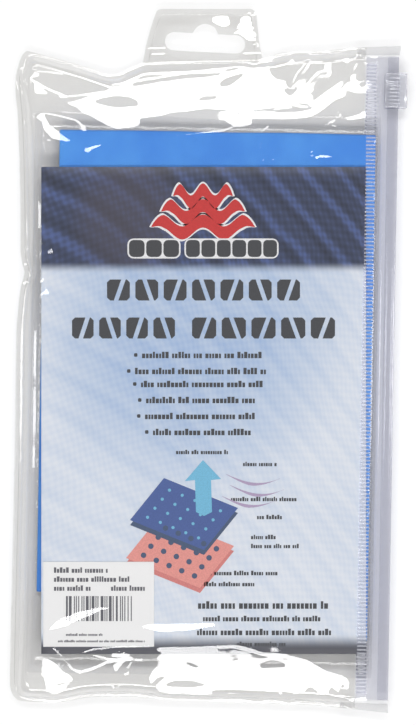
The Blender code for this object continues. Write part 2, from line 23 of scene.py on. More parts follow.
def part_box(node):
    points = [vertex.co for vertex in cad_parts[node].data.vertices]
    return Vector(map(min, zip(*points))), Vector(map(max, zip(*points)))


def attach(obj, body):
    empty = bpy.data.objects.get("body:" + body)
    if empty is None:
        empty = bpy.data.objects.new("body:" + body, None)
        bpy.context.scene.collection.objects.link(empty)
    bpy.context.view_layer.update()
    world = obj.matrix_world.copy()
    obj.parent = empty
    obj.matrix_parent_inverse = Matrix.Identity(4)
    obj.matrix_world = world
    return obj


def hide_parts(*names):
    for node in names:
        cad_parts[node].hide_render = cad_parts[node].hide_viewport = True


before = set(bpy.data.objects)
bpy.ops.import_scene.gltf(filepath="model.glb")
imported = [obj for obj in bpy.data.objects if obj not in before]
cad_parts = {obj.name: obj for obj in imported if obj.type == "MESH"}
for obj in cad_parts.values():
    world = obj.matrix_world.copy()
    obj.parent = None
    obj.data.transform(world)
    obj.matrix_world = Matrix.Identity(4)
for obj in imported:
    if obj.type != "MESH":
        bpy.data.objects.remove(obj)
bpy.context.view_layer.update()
LOG = logging.getLogger("neck_wrap_pouch")
MM = 0.001
Array = np.ndarray
Point = tuple[float, float]


class Slot(str, Enum):
    """The record's material slots."""

    VINYL = "clear_vinyl"
    ZIP = "zip_plastic"
    SLIDER = "slider_plastic"
    BAG = "thin_film"
    CLOTH = "foam_cloth"
    CARD = "printed_card"
    LABEL = "label_paper"


class Body(str, Enum):
    """The frame's rigid bodies."""

    POUCH = "pouch"
    SLIDER = "slider"


@dataclass(frozen=True)
class PhotoScale:
    """Turns a pixel of the photograph into a place in the frame.

    Attributes:
        pixel: the size of one pixel on the card, in metres.
        middle: the photograph's middle, in pixels.
        centre: the place in the frame that the middle shows.
        turn: the frame's turn against the photograph, in radians.
    """

    pixel: float = 0.3128 * MM
    middle: Point = (208.0, 362.5)
    centre: Point = (0.53 * MM, -0.98 * MM)
    turn: float = math.radians(1.0)

    def place(self, across: Array, down: Array) -> tuple[Array, Array]:
        """The frame's x and y of photograph pixels."""
        right = (across - self.middle[0]) * self.pixel
        up = (self.middle[1] - down) * self.pixel
        cos, sin = math.cos(self.turn), math.sin(self.turn)
        x = self.centre[0] + right * cos - up * sin
        return x, self.centre[1] + right * sin + up * cos

    def pixels(self, x: Array, y: Array) -> tuple[Array, Array]:
        """The photograph pixel that shows a place of the frame."""
        dx, dy = x - self.centre[0], y - self.centre[1]
        cos, sin = math.cos(self.turn), math.sin(self.turn)
        across = self.middle[0] + (dx * cos + dy * sin) / self.pixel
        return across, self.middle[1] - (dy * cos - dx * sin) / self.pixel


PHOTO = PhotoScale()


def ease(low: float, high: float, value: Array) -> Array:
    """A smooth rise from 0 to 1 between two values."""
    share = np.clip((value - low) / (high - low), 0.0, 1.0)
    return share * share * (3.0 - 2.0 * share)


def pillow(distance: Array, margin: float) -> Array:
    """The rise of a stuffed film from its seam, steep first and then level."""
    share = np.clip(distance / margin, 0.0, 1.0)
    return 1.0 - (1.0 - share) ** 2


def follow(table: Sequence[Point], at: Array) -> Array:
    """A smooth curve through a table of (place, value), read at many places."""
    places = np.array([row[0] for row in table], float)
    values = np.array([row[1] for row in table], float)
    steps = np.diff(values) / np.diff(places)
    slopes = np.empty_like(values)
    slopes[0], slopes[-1] = steps[0], steps[-1]
    same_way = steps[1:] * steps[:-1] > 0
    means = 2 * steps[1:] * steps[:-1] / np.where(same_way, steps[1:] + steps[:-1], 1.0)
    slopes[1:-1] = np.where(same_way, means, 0.0)
    at = np.clip(np.asarray(at, float), places[0], places[-1])
    k = np.clip(np.searchsorted(places, at, side="right") - 1, 0, len(places) - 2)
    width = places[k + 1] - places[k]
    t = (at - places[k]) / width
    start = (1 + 2 * t) * (1 - t) ** 2 * values[k] + t * (1 - t) ** 2 * width * slopes[k]
    end = t * t * (3 - 2 * t) * values[k + 1] - t * t * (1 - t) * width * slopes[k + 1]
    return start + end


def ripples(x: Array, y: Array, size: float, seed: float, octaves: int = 3) -> Array:
    """Soft noise from -1 to 1 over a sheet, with bumps of about one size."""
    flat_x, flat_y = np.ravel(x) / size, np.ravel(y) / size
    values = [
        noise.fractal(Vector((u, v, seed)), 1.0, 2.0, octaves)
        for u, v in zip(flat_x, flat_y)
    ]
    return np.reshape(values, np.shape(x))


def link(mesh: bpy.types.Mesh, name: str) -> bpy.types.Object:
    """Puts a mesh into the scene as an object."""
    made = bpy.data.objects.new(name, mesh)
    bpy.context.scene.collection.objects.link(made)
    return made


def mesh_object(
    name: str, points: Array, faces: Sequence[Sequence[int]], smooth: bool = True
) -> bpy.types.Object:
    """Makes an object from points and faces.

    Args:
        name: the piece's name.
        points: rows of x, y and z.
        faces: corner numbers of each face.
        smooth: whether its faces are shaded smooth.

    Returns:
        The new object.
    """
    mesh = bpy.data.meshes.new(name)
    mesh.from_pydata(np.asarray(points, float).tolist(), [], [list(f) for f in faces])
    mesh.update()
    if smooth:
        mesh.shade_smooth()
    return link(mesh, name)


def grid_faces(rows: int, columns: int, start: int = 0, flip: bool = False) -> list[list[int]]:
    """The quads of a grid of points laid out row by row."""
    first = start + np.arange(rows - 1)[:, None] * columns + np.arange(columns - 1)[None, :]
    corners = [first, first + 1, first + columns + 1, first + columns]
    quads = np.stack(corners[::-1] if flip else corners, axis=-1)
    return quads.reshape(-1, 4).tolist()


def sheet_object(name: str, x: Array, y: Array, z: Array, flip: bool = False) -> bpy.types.Object:
    """A single sheet through a grid of places."""
    points = np.stack([x, y, z], axis=-1).reshape(-1, 3)
    return mesh_object(name, points, grid_faces(*x.shape, flip=flip))


def dress(piece: bpy.types.Object, finish: "Finish", slot: Slot, body: Body = Body.POUCH) -> None:
    """Gives a piece its finish and the body that it rides on, and logs its record slot."""
    piece.data.materials.clear()
    piece.data.materials.append(finish.material())
    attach(piece, body.value)
    LOG.info("%s: %d faces, slot %s", piece.name, len(piece.data.polygons), slot.value)


class Socket:
    """A value in a material, so that Python's operators write its maths.

    Attributes:
        graph: the material that the value belongs to.
        link: the node output that carries it.
    """

    def __init__(self, graph: "Graph", link: bpy.types.NodeSocket) -> None:
        """Wraps one node output."""
        self.graph = graph
        self.link = link

    def __add__(self, other: "Value") -> "Socket":
        """The sum."""
        return self.graph.maths("ADD", self, other)

    __radd__ = __add__

    def __sub__(self, other: "Value") -> "Socket":
        """The difference."""
        return self.graph.maths("SUBTRACT", self, other)

    def __rsub__(self, other: "Value") -> "Socket":
        """The difference, taken from a number."""
        return self.graph.maths("SUBTRACT", other, self)

    def __mul__(self, other: "Value") -> "Socket":
        """The product."""
        return self.graph.maths("MULTIPLY", self, other)

    __rmul__ = __mul__

    def __truediv__(self, other: "Value") -> "Socket":
        """The quotient."""
        return self.graph.maths("DIVIDE", self, other)

    def __pow__(self, other: "Value") -> "Socket":
        """The power."""
        return self.graph.maths("POWER", self, other)

    def wave(self) -> "Socket":
        """Its sine."""
        return self.graph.maths("SINE", self)

    def clamped(self) -> "Socket":
        """The value kept between 0 and 1."""
        return self.graph.maths("ADD", self, 0.0, clamp=True)

    def between(self, low: float, high: float) -> "Socket":
        """A smooth step from 0 at low to 1 at high."""
        settings = {"interpolation_type": "SMOOTHSTEP"}
        inputs = {"Value": self, "From Min": low, "From Max": high}
        return self.graph.node("ShaderNodeMapRange", settings, inputs, "Result")


Value = Socket | float
Colour = tuple[float, float, float]


class Graph:
    """One material's nodes."""

    def __init__(self, name: str) -> None:
        """Makes an empty material."""
        self.material = bpy.data.materials.new(name)
        self.material.use_nodes = True
        self.tree = self.material.node_tree
        self.tree.nodes.clear()

    def node(
        self,
        kind: str,
        settings: dict[str, object] | None = None,
        inputs: dict[str | int, object] | None = None,
        output: str | int = 0,
    ) -> Socket:
        """Adds one node.

        Args:
            kind: the node's type.
            settings: its properties, set first; "stops" gives a ramp's (place, colour) rows.
            inputs: numbers, colours or sockets, by input name or number.
            output: the output that is returned.

        Returns:
            The chosen output.
        """
        made = self.tree.nodes.new(kind)
        for key, value in (settings or {}).items():
            if key == "stops":
                self.set_stops(made.color_ramp, value)
            else:
                setattr(made, key, value)
        for key, value in (inputs or {}).items():
            self.feed(made.inputs[key], value)
        return Socket(self, made.outputs[output] if len(made.outputs) else None)

    @staticmethod
    def set_stops(ramp: bpy.types.ColorRamp, stops: Sequence[tuple[float, Colour]]) -> None:
        """Sets a ramp's colours."""
        while len(ramp.elements) < len(stops):
            ramp.elements.new(1.0)
        for element, (place, colour) in zip(ramp.elements, stops):
            element.position = place
            element.color = (*colour, 1.0)

    def feed(self, target: bpy.types.NodeSocket, value: object) -> None:
        """Links a socket, or sets a number or a colour, on an input."""
        if isinstance(value, Socket):
            self.tree.links.new(value.link, target)
        elif target.type == "RGBA" and len(value) == 3:
            target.default_value = (*value, 1.0)
        else:
            target.default_value = value

    def maths(self, operation: str, *values: Value, clamp: bool = False) -> Socket:
        """One Math node over numbers and sockets."""
        settings = {"operation": operation, "use_clamp": clamp}
        return self.node("ShaderNodeMath", settings, dict(enumerate(values)))

    def mix(self, share: Value, first: object, second: object, blend: str = "MIX") -> Socket:
        """A colour between two colours."""
        settings = {"data_type": "RGBA", "blend_type": blend, "clamp_factor": True}
        inputs = {0: share, 6: first, 7: second}
        return self.node("ShaderNodeMix", settings, inputs, 2)

    def place(self) -> tuple[Socket, Socket, Socket]:
        """The surface point in the frame, as x, y and z in metres."""
        position = self.node("ShaderNodeTexCoord", output="Object")
        parts = [
            self.node("ShaderNodeSeparateXYZ", inputs={0: position}, output=axis)
            for axis in ("X", "Y", "Z")
        ]
        return parts[0], parts[1], parts[2]

    def noise(self, scale: float, detail: float = 2.0, roughness: float = 0.5) -> Socket:
        """Noise in the frame's space; scale is bumps per metre."""
        position = self.node("ShaderNodeTexCoord", output="Object")
        inputs = {"Vector": position, "Scale": scale, "Detail": detail, "Roughness": roughness}
        return self.node("ShaderNodeTexNoise", inputs=inputs, output="Fac")

    def bump(self, height: Value, distance: float, strength: float = 1.0) -> Socket:
        """A normal from a height from 0 to 1 and the real depth of 1, in metres."""
        inputs = {"Height": height, "Distance": distance, "Strength": strength}
        return self.node("ShaderNodeBump", inputs=inputs, output="Normal")

    def principled(self, **inputs: object) -> Socket:
        """A Principled shader; names are its inputs with underscores for spaces."""
        named = {key.replace("_", " "): value for key, value in inputs.items()}
        return self.node("ShaderNodeBsdfPrincipled", inputs=named, output="BSDF")

    def finish(self, shader: Socket) -> bpy.types.Material:
        """Links the shader to the material's output."""
        self.node("ShaderNodeOutputMaterial", inputs={"Surface": shader})
        return self.material


@dataclass(frozen=True)
class Finish:
    """A named procedural finish, made once and shared by its pieces."""

    name: str

    def material(self) -> bpy.types.Material:
        """The finish's material."""
        known = bpy.data.materials.get(self.name)
        return known if known else self.build(Graph(self.name))

    def build(self, graph: Graph) -> bpy.types.Material:
        """Makes the material's nodes."""
        raise NotImplementedError


@dataclass(frozen=True)
class ClearFilm(Finish):
    """Clear plastic film: it lets light through with a slight tint and mirrors the lamps.

    Attributes:
        tint: the share of each colour that one surface lets through.
        gloss: the share mirrored head on.
        roughness: of the mirrored light.
        haze: the share of dull, milky film.
        haze_colour: the milky film's colour.
    """

    tint: Colour = (0.950, 0.948, 0.942)
    gloss: float = 0.07
    roughness: float = 0.05
    haze: float = 0.008
    haze_colour: Colour = (0.62, 0.62, 0.66)
    grain: float = 900.0
    grain_depth: float = 0.004 * MM

    def build(self, graph: Graph) -> bpy.types.Material:
        """Mixes clear, milky and mirrored light."""
        normal = graph.bump(graph.noise(self.grain, 2.0), self.grain_depth)
        clear = graph.node("ShaderNodeBsdfTransparent", inputs={"Color": self.tint})
        milky = graph.principled(
            Base_Color=self.haze_colour, Roughness=0.5, Normal=normal, IOR=1.01
        )
        shine = graph.principled(
            Base_Color=(1.0, 1.0, 1.0), Metallic=1.0, Roughness=self.roughness, Normal=normal
        )
        facing = graph.node("ShaderNodeLayerWeight", inputs={"Blend": 0.35}, output="Facing")
        veil = (facing * facing * 0.3 + self.haze).clamped()
        body = graph.node("ShaderNodeMixShader", inputs={0: veil, 1: clear, 2: milky})
        mirror = (facing**4.0 * 0.6 + self.gloss).clamped()
        return graph.finish(
            graph.node("ShaderNodeMixShader", inputs={0: mirror, 1: body, 2: shine})
        )


@dataclass(frozen=True)
class FoamCloth(Finish):
    """Bright blue soft foam cloth with fine pores."""

    colour: Colour = (0.085, 0.37, 0.95)
    deep: Colour = (0.055, 0.29, 0.88)

    def build(self, graph: Graph) -> bpy.types.Material:
        """A matt blue with pores and a soft cloudiness."""
        cloud = graph.noise(60.0, 3.0).between(0.3, 0.7)
        pores = graph.noise(3500.0, 2.0, 0.6)
        colour = graph.mix(cloud, self.deep, self.colour)
        normal = graph.bump(pores, 0.08 * MM)
        shader = graph.principled(
            Base_Color=colour, Roughness=0.8, Normal=normal, Sheen_Weight=0.15
        )
        return graph.finish(shader)


@dataclass(frozen=True)
class PlainInk(Finish):
    """A flat printed ink with a little paper grain."""

    colour: Colour = (0.05, 0.05, 0.06)

    def build(self, graph: Graph) -> bpy.types.Material:
        """An even ink, slightly mottled."""
        grain = graph.noise(2500.0, 2.0).between(0.25, 0.75)
        light = tuple(min(1.0, part * 1.18 + 0.004) for part in self.colour)
        shader = graph.principled(
            Base_Color=graph.mix(grain, self.colour, light), Roughness=0.45
        )
        return graph.finish(shader)


@dataclass(frozen=True)
class PrintedCard(Finish):
    """The card's print: a woven navy head, a pale blue woven ground and a dark foot band.

    Attributes:
        centre: the card's middle in the frame.
        size: its width and height.
        turn: its turn in the frame, in radians.
    """

    centre: Point = (0.0, 0.0)
    size: Point = (0.1016, 0.1524)
    turn: float = 0.0
    head_share: float = 0.793
    head_blur: float = 0.012
    foot_share: float = 0.043

    def build(self, graph: Graph) -> bpy.types.Material:
        """Draws the ground of the print."""
        x, y, _ = graph.place()
        cos, sin = math.cos(self.turn), math.sin(self.turn)
        dx, dy = x - self.centre[0], y - self.centre[1]
        across = (dx * cos + dy * sin) / self.size[0] + 0.5
        up = (dy * cos - dx * sin) / self.size[1] + 0.5
        fine, folds = self.weave(graph, across, up)
        clouds = graph.noise(38.0, 3.0, 0.55).between(0.25, 0.75)
        head = graph.node(
            "ShaderNodeValToRGB",
            {
                "stops": (
                    (0.0, (0.012, 0.018, 0.045)),
                    (0.5, (0.038, 0.056, 0.130)),
                    (1.0, (0.085, 0.135, 0.360)),
                )
            },
            {"Fac": (folds * 0.55 + fine * 0.30 + clouds * 0.20 - 0.05).clamped()},
        )
        # A soft, greyer, warmer patch over the left of the navy head, strongest at its middle and fading to
        # its rim.
        greyer_patch = 1.0 - self.blob(across, up, (0.27, 0.90), (0.17, 0.13))
        head = graph.mix(greyer_patch * 0.6, head, (0.078, 0.068, 0.095))
        glow = 1.0 - self.blob(across, up, (0.47, 0.66), (0.44, 0.30))
        light = (0.66 - glow * 0.52 + folds * 0.16 + fine * 0.14 + clouds * 0.12).clamped()
        pale = graph.node(
            "ShaderNodeValToRGB",
            {
                "stops": (
                    (0.0, (0.27, 0.43, 0.74)),
                    (0.45, (0.52, 0.63, 0.82)),
                    (1.0, (0.80, 0.84, 0.92)),
                )
            },
            {"Fac": light},
        )
        edge = up.between(self.head_share - self.head_blur, self.head_share + self.head_blur)
        print_colour = graph.mix(edge, pale, head)
        foot = 1.0 - up.between(0.010, self.foot_share)
        print_colour = graph.mix(foot, print_colour, (0.045, 0.047, 0.070))
        shader = graph.principled(Base_Color=print_colour, Roughness=0.4)
        return graph.finish(shader)

    @staticmethod
    def blob(across: Socket, up: Socket, centre: Point, size: Point) -> Socket:
        """A soft round patch, 0 at its middle and 1 at its rim."""
        right = (across - centre[0]) / size[0]
        high = (up - centre[1]) / size[1]
        return (right * right + high * high).between(0.0, 1.6)

    @staticmethod
    def weave(graph: Graph, across: Socket, up: Socket) -> tuple[Socket, Socket]:
        """A close-up weave: its fine knots, and its broad slanting folds."""
        warp = graph.noise(30.0, 2.0) * 0.10
        bend = (across - 0.15) * (across - 0.15) * 0.40
        slope = up * 1.50 + across * 0.62 + bend + warp
        rows = (slope * 190.0).wave()
        knots = ((across - up * 0.75 + warp) * 210.0).wave()
        folds = (slope * 52.0).wave() * 0.35 + (slope * 97.0 + 1.0).wave() * 0.30 + 0.5
        return (rows * knots * 0.5 + 0.5).clamped(), folds.clamped()


@dataclass(frozen=True)
class Paper(Finish):
    """White label paper."""

    colour: Colour = (0.76, 0.76, 0.765)

    def build(self, graph: Graph) -> bpy.types.Material:
        """A white paper with faint fibres."""
        fibres = graph.noise(1200.0, 4.0, 0.6).between(0.3, 0.7)
        dark = tuple(part * 0.94 for part in self.colour)
        shader = graph.principled(
            Base_Color=graph.mix(fibres, dark, self.colour),
            Roughness=0.6,
            Normal=graph.bump(fibres, 0.01 * MM),
        )
        return graph.finish(shader)


@dataclass(frozen=True)
class WhiteFloor(Finish):
    """The plain pale floor."""

    def build(self, graph: Graph) -> bpy.types.Material:
        """A matt white with a faint mottle."""
        mottle = graph.noise(12.0, 2.0).between(0.2, 0.8)
        shader = graph.principled(
            Base_Color=graph.mix(mottle, (0.95, 0.95, 0.95), (0.97, 0.97, 0.97)),
            Roughness=0.9,
        )
        return graph.finish(shader)


VINYL = ClearFilm("clear_vinyl_film")
THIN_BAG = ClearFilm(
    "crinkled_bag_film", tint=(0.992, 0.992, 0.996), gloss=0.035, roughness=0.06, haze=0.004
)
ZIP_PLASTIC = ClearFilm(
    "milky_zip_plastic",
    tint=(0.95, 0.952, 0.968),
    gloss=0.05,
    roughness=0.10,
    haze=0.07,
    haze_colour=(0.62, 0.62, 0.72),
)
LADDER_PLASTIC = ClearFilm(
    "frosted_weld_plastic",
    tint=(0.95, 0.95, 0.965),
    gloss=0.05,
    roughness=0.15,
    haze=0.34,
    haze_colour=(0.74, 0.76, 0.84),
)
SLIDER_PLASTIC = ClearFilm(
    "clear_slider_plastic",
    tint=(0.97, 0.972, 0.985),
    gloss=0.06,
    roughness=0.08,
    haze=0.26,
    haze_colour=(0.82, 0.83, 0.90),
)
WELD = ClearFilm(
    "welded_film", tint=(0.95, 0.95, 0.95), gloss=0.06, roughness=0.08, haze=0.05
)
FOAM = FoamCloth("blue_foam_cloth")
DARK_INK = PlainInk("charcoal_ink", (0.040, 0.042, 0.050))
WHITE_INK = PlainInk("white_ink", (0.80, 0.80, 0.82))
RED_INK = PlainInk("red_ink", (0.56, 0.018, 0.018))
NAVY_INK = PlainInk("navy_ink", (0.055, 0.105, 0.320))
PINK_INK = PlainInk("pink_ink", (0.74, 0.29, 0.26))
AQUA_INK = PlainInk("aqua_ink", (0.16, 0.47, 0.68))
GREY_INK = PlainInk("grey_ink", (0.10, 0.10, 0.12))
DEEP_INK = PlainInk("deep_blue_ink", (0.050, 0.085, 0.170))
ROSE_INK = PlainInk("rose_ink", (0.62, 0.20, 0.19))
MAUVE_INK = PlainInk("mauve_ink", (0.42, 0.33, 0.50))
LABEL_PAPER = Paper("label_paper")
FLOOR = WhiteFloor("studio_floor")


class Lamp(Enum):
    """The studio's soft lamps, by the side of the pack that each one lights."""

    HEAD = (0.0, 0.67, 1.21)
    FOOT = (0.0, -0.67, 1.21)
    LEFT = (-0.72, 0.0, 1.15)
    RIGHT = (0.72, 0.0, 1.15)


@dataclass(frozen=True)
class Gleam:
    """A patch of film that leans to mirror a lamp.

    Attributes:
        path: its outline, or its middle line where it has a half width; in pixels.
        lamp: the lamp that it mirrors, or None for a flat patch inside another.
        half_width: half the width of a line, in pixels; 0 for a filled outline.
    """

    path: tuple[Point, ...]
    lamp: Lamp | None = Lamp.HEAD
    half_width: float = 0.0

    def cover(self, across: Array, down: Array) -> Array:
        """Its share of each place, from 0 to 1 over one pixel."""
        points = list(self.path)
        ends = points[1:] if self.half_width else points[1:] + points[:1]
        nearest = np.full(across.shape, 1e9)
        inside = np.zeros(across.shape, bool)
        for (x0, y0), (x1, y1) in zip(points, ends):
            dx, dy = x1 - x0, y1 - y0
            along = np.clip(((across - x0) * dx + (down - y0) * dy) / (dx * dx + dy * dy), 0, 1)
            away = np.hypot(across - x0 - along * dx, down - y0 - along * dy)
            nearest = np.minimum(nearest, away)
            spans = (y0 > down) != (y1 > down)
            inside ^= spans & (across < x0 + (down - y0) * dx / (dy if dy else 1.0))
        if self.half_width:
            return np.clip(self.half_width + 0.5 - nearest, 0, 1)
        return np.clip(np.where(inside, nearest, -nearest) + 0.5, 0, 1)


GLEAMS = (
    Gleam((
        (62, 102.5), (75, 100.5), (100, 91), (112, 88), (132, 86.5), (160, 81), (182, 78),
        (210, 76), (240, 68), (268, 65), (271, 76), (268, 84), (270, 95), (277, 107),
        (262, 110), (249, 110), (249, 126), (241, 128), (232, 126), (225, 120), (241, 113),
        (232, 110), (205, 109), (186, 112), (172, 113), (158, 117), (140, 119), (137, 127),
        (118, 130), (105, 125), (90, 116), (84, 114), (76, 107),
    )),
    Gleam(((98, 102), (104, 98), (118, 95.5), (132, 98), (135, 105), (118, 107.5), (108, 106)), None),
    Gleam(((221, 86), (224, 79), (234, 75), (244, 73), (236, 80), (230, 86)), None),
    Gleam(((198, 100), (204, 96.5), (217, 96), (214, 99)), None),
    Gleam((
        (249, 114), (262, 110), (280, 112), (300, 111), (313, 108), (320, 96), (330, 88),
        (342, 78), (353, 66), (350, 74), (343, 86), (336, 94), (329, 105), (318, 114),
        (306, 119), (290, 120), (268, 120), (250, 119),
    )),
    Gleam(((271, 76), (278, 89), (286, 99), (297, 106), (307, 107)), Lamp.HEAD, 1.9),
    Gleam(((296, 56), (290, 64), (288.5, 76), (291, 87)), Lamp.LEFT, 1.4),
    Gleam(((292, 84), (297, 73), (308, 60)), Lamp.RIGHT, 1.7),
    Gleam(((292, 58), (300, 57), (308, 57)), Lamp.HEAD, 1.2),
    Gleam(((298, 94), (310, 81), (319, 71), (330, 70)), Lamp.HEAD, 1.5),
    Gleam(((328, 50), (328, 62), (330, 76), (330, 88)), Lamp.RIGHT, 1.5),
    Gleam(((347, 62), (347, 54), (353, 54)), Lamp.HEAD, 1.5),
    Gleam(((359, 53), (359, 60), (352, 73)), Lamp.RIGHT, 1.5),
    Gleam(((362, 62), (363, 72), (362, 80)), Lamp.RIGHT, 1.4),
    Gleam(((338, 111), (334, 122), (326, 133), (316, 145)), Lamp.HEAD, 1.5),
    Gleam(((330, 126), (334, 120), (336, 129))),
    Gleam(((341, 118), (352, 116), (361, 112), (363, 108), (366, 116), (361, 120), (350, 121))),
    Gleam(((112, 84), (150, 78.5), (200, 70.5), (250, 64.5), (286, 58)), Lamp.HEAD, 1.5),
    Gleam(((20, 78), (26, 73), (38, 71), (52, 72), (63, 74)), Lamp.HEAD, 1.5),
    Gleam(((30, 79), (46, 88), (63, 95)), Lamp.HEAD, 1.5),
    Gleam(((62, 97), (82, 95), (98, 92)), Lamp.HEAD, 1.5),
    Gleam(((24, 80), (26, 85)), Lamp.RIGHT, 1.5),
    Gleam((
        (41, 113), (46, 114), (50, 124), (60, 132), (68, 138), (75, 141), (66, 143),
        (52, 140), (45, 132), (42, 124),
    )),
    Gleam(((33, 114), (46, 113), (60, 116), (76, 120)), Lamp.HEAD, 1.5),
    Gleam(((76, 120), (83, 126), (84, 131)), Lamp.HEAD, 1.5),
    Gleam(((84, 152), (86, 147), (96, 144), (106, 143), (102, 147), (94, 150), (88, 155))),
    Gleam(((116, 154), (140, 147.5), (160, 141), (178, 136), (200, 133.5), (222, 131), (234, 127)),
          Lamp.HEAD, 1.5),
    Gleam(((132, 163), (150, 156), (168, 149), (178, 144)), Lamp.HEAD, 1.5),
    Gleam(((176, 145), (182, 140), (191, 140), (186, 143))),
    Gleam(((120, 163), (124, 161), (129, 160), (126, 164))),
    Gleam(((148, 168), (158, 160), (167, 158), (160, 163))),
    Gleam(((230, 150), (246, 142), (260, 133), (270, 125)), Lamp.HEAD, 1.5),
    Gleam(((231, 158), (235, 153)), Lamp.HEAD, 1.5),
    Gleam(((260, 143), (262, 151), (264, 160)), Lamp.RIGHT, 1.5),
    Gleam(((272, 160), (286, 150), (300, 142), (322, 128), (336, 118)), Lamp.HEAD, 1.5),
    Gleam(((272, 160), (283, 164)), Lamp.HEAD, 1.5),
    Gleam(((308, 152), (317, 139), (321, 134)), Lamp.HEAD, 1.5),
    Gleam(((314, 156), (322, 153.5), (331, 155), (338, 158.5), (328, 159), (319, 159), (316, 164))),
    Gleam(((214, 15), (227, 14), (227, 27), (220, 26), (214, 22))),
    Gleam(((242, 15), (250, 14), (253, 30), (255, 42), (247, 40), (239, 33), (230, 34), (240, 28))),
    Gleam(((152, 41), (164, 41)), Lamp.HEAD, 1.2),
    Gleam(((148, 47.5), (165, 47)), Lamp.HEAD, 1.4),
    Gleam(((152, 53.5), (164, 52.5)), Lamp.HEAD, 1.5),
    Gleam(((244, 52.5), (261, 52)), Lamp.HEAD, 1.5),
    Gleam(((46, 632), (58, 617), (84, 607), (119, 602), (121, 607), (100, 613), (86, 620), (66, 627)),
          Lamp.FOOT),
    Gleam(((137, 626), (150, 623), (180, 621), (222, 620), (214, 627), (190, 631), (160, 633)),
          Lamp.FOOT),
    Gleam((
        (44, 653), (52, 661), (56, 670), (58, 678), (56, 686), (70, 682), (60, 696),
        (48, 697), (48, 680), (48, 664),
    ), Lamp.FOOT),
    Gleam(((54, 648), (62, 656), (72, 669), (80, 672.5), (92, 669), (108, 662), (125, 659), (140, 660)),
          Lamp.FOOT, 1.9),
    Gleam(((84, 652), (94, 649), (120, 646.5), (150, 646.5)), Lamp.FOOT, 1.5),
    Gleam(((94, 655), (110, 659), (128, 661)), Lamp.FOOT, 1.5),
    Gleam(((115, 651), (128, 653), (132, 657)), Lamp.FOOT, 1.2),
    Gleam(((125, 663), (119, 675), (115, 689)), Lamp.LEFT, 1.8),
    Gleam(((132, 662), (125, 671)), Lamp.LEFT, 1.5),
    Gleam((
        (154, 648), (200, 648), (198, 662), (206, 674), (206, 685), (213, 690), (210, 697),
        (182, 697), (157, 694), (157, 685), (169, 677), (166, 660), (163, 654),
    ), Lamp.FOOT),
    Gleam(((167, 685), (174, 681), (192, 681), (204, 685), (190, 689), (174, 689)), None),
    Gleam(((188, 663), (196, 667)), None, 1.5),
    Gleam(((160, 648.5), (195, 648.5), (235, 646), (250, 650), (262, 654), (285, 656), (305, 661),
           (322, 671), (334, 683), (341, 697)), Lamp.FOOT, 2.2),
    Gleam(((222, 664), (236, 660), (240, 668), (231, 675), (222, 676)), Lamp.FOOT),
    Gleam((
        (255, 657), (298, 660), (312, 668), (298, 676), (286, 681), (262, 678), (252, 690),
        (246, 676), (252, 668),
    ), Lamp.FOOT),
    Gleam(((262, 668), (264, 662), (270, 660), (282, 662), (283, 667), (270, 668)), None),
    Gleam(((216, 676), (224, 690)), Lamp.FOOT, 1.4),
    Gleam(((302, 692), (306, 684), (312, 682), (318, 690), (328, 701)), Lamp.FOOT, 1.6),
    Gleam(((280, 694), (290, 698), (300, 690)), Lamp.FOOT, 1.5),
    Gleam(((262, 684), (272, 690)), Lamp.FOOT, 1.5),
    Gleam(((343, 690), (352, 702)), Lamp.LEFT, 1.6),
    Gleam(((206, 695), (232, 694), (262, 697)), Lamp.FOOT, 1.5),
    Gleam(((24, 270), (30, 263), (37, 252)), Lamp.RIGHT, 1.5),
    Gleam(((25, 273), (31, 284), (36, 298)), Lamp.LEFT, 1.5),
)


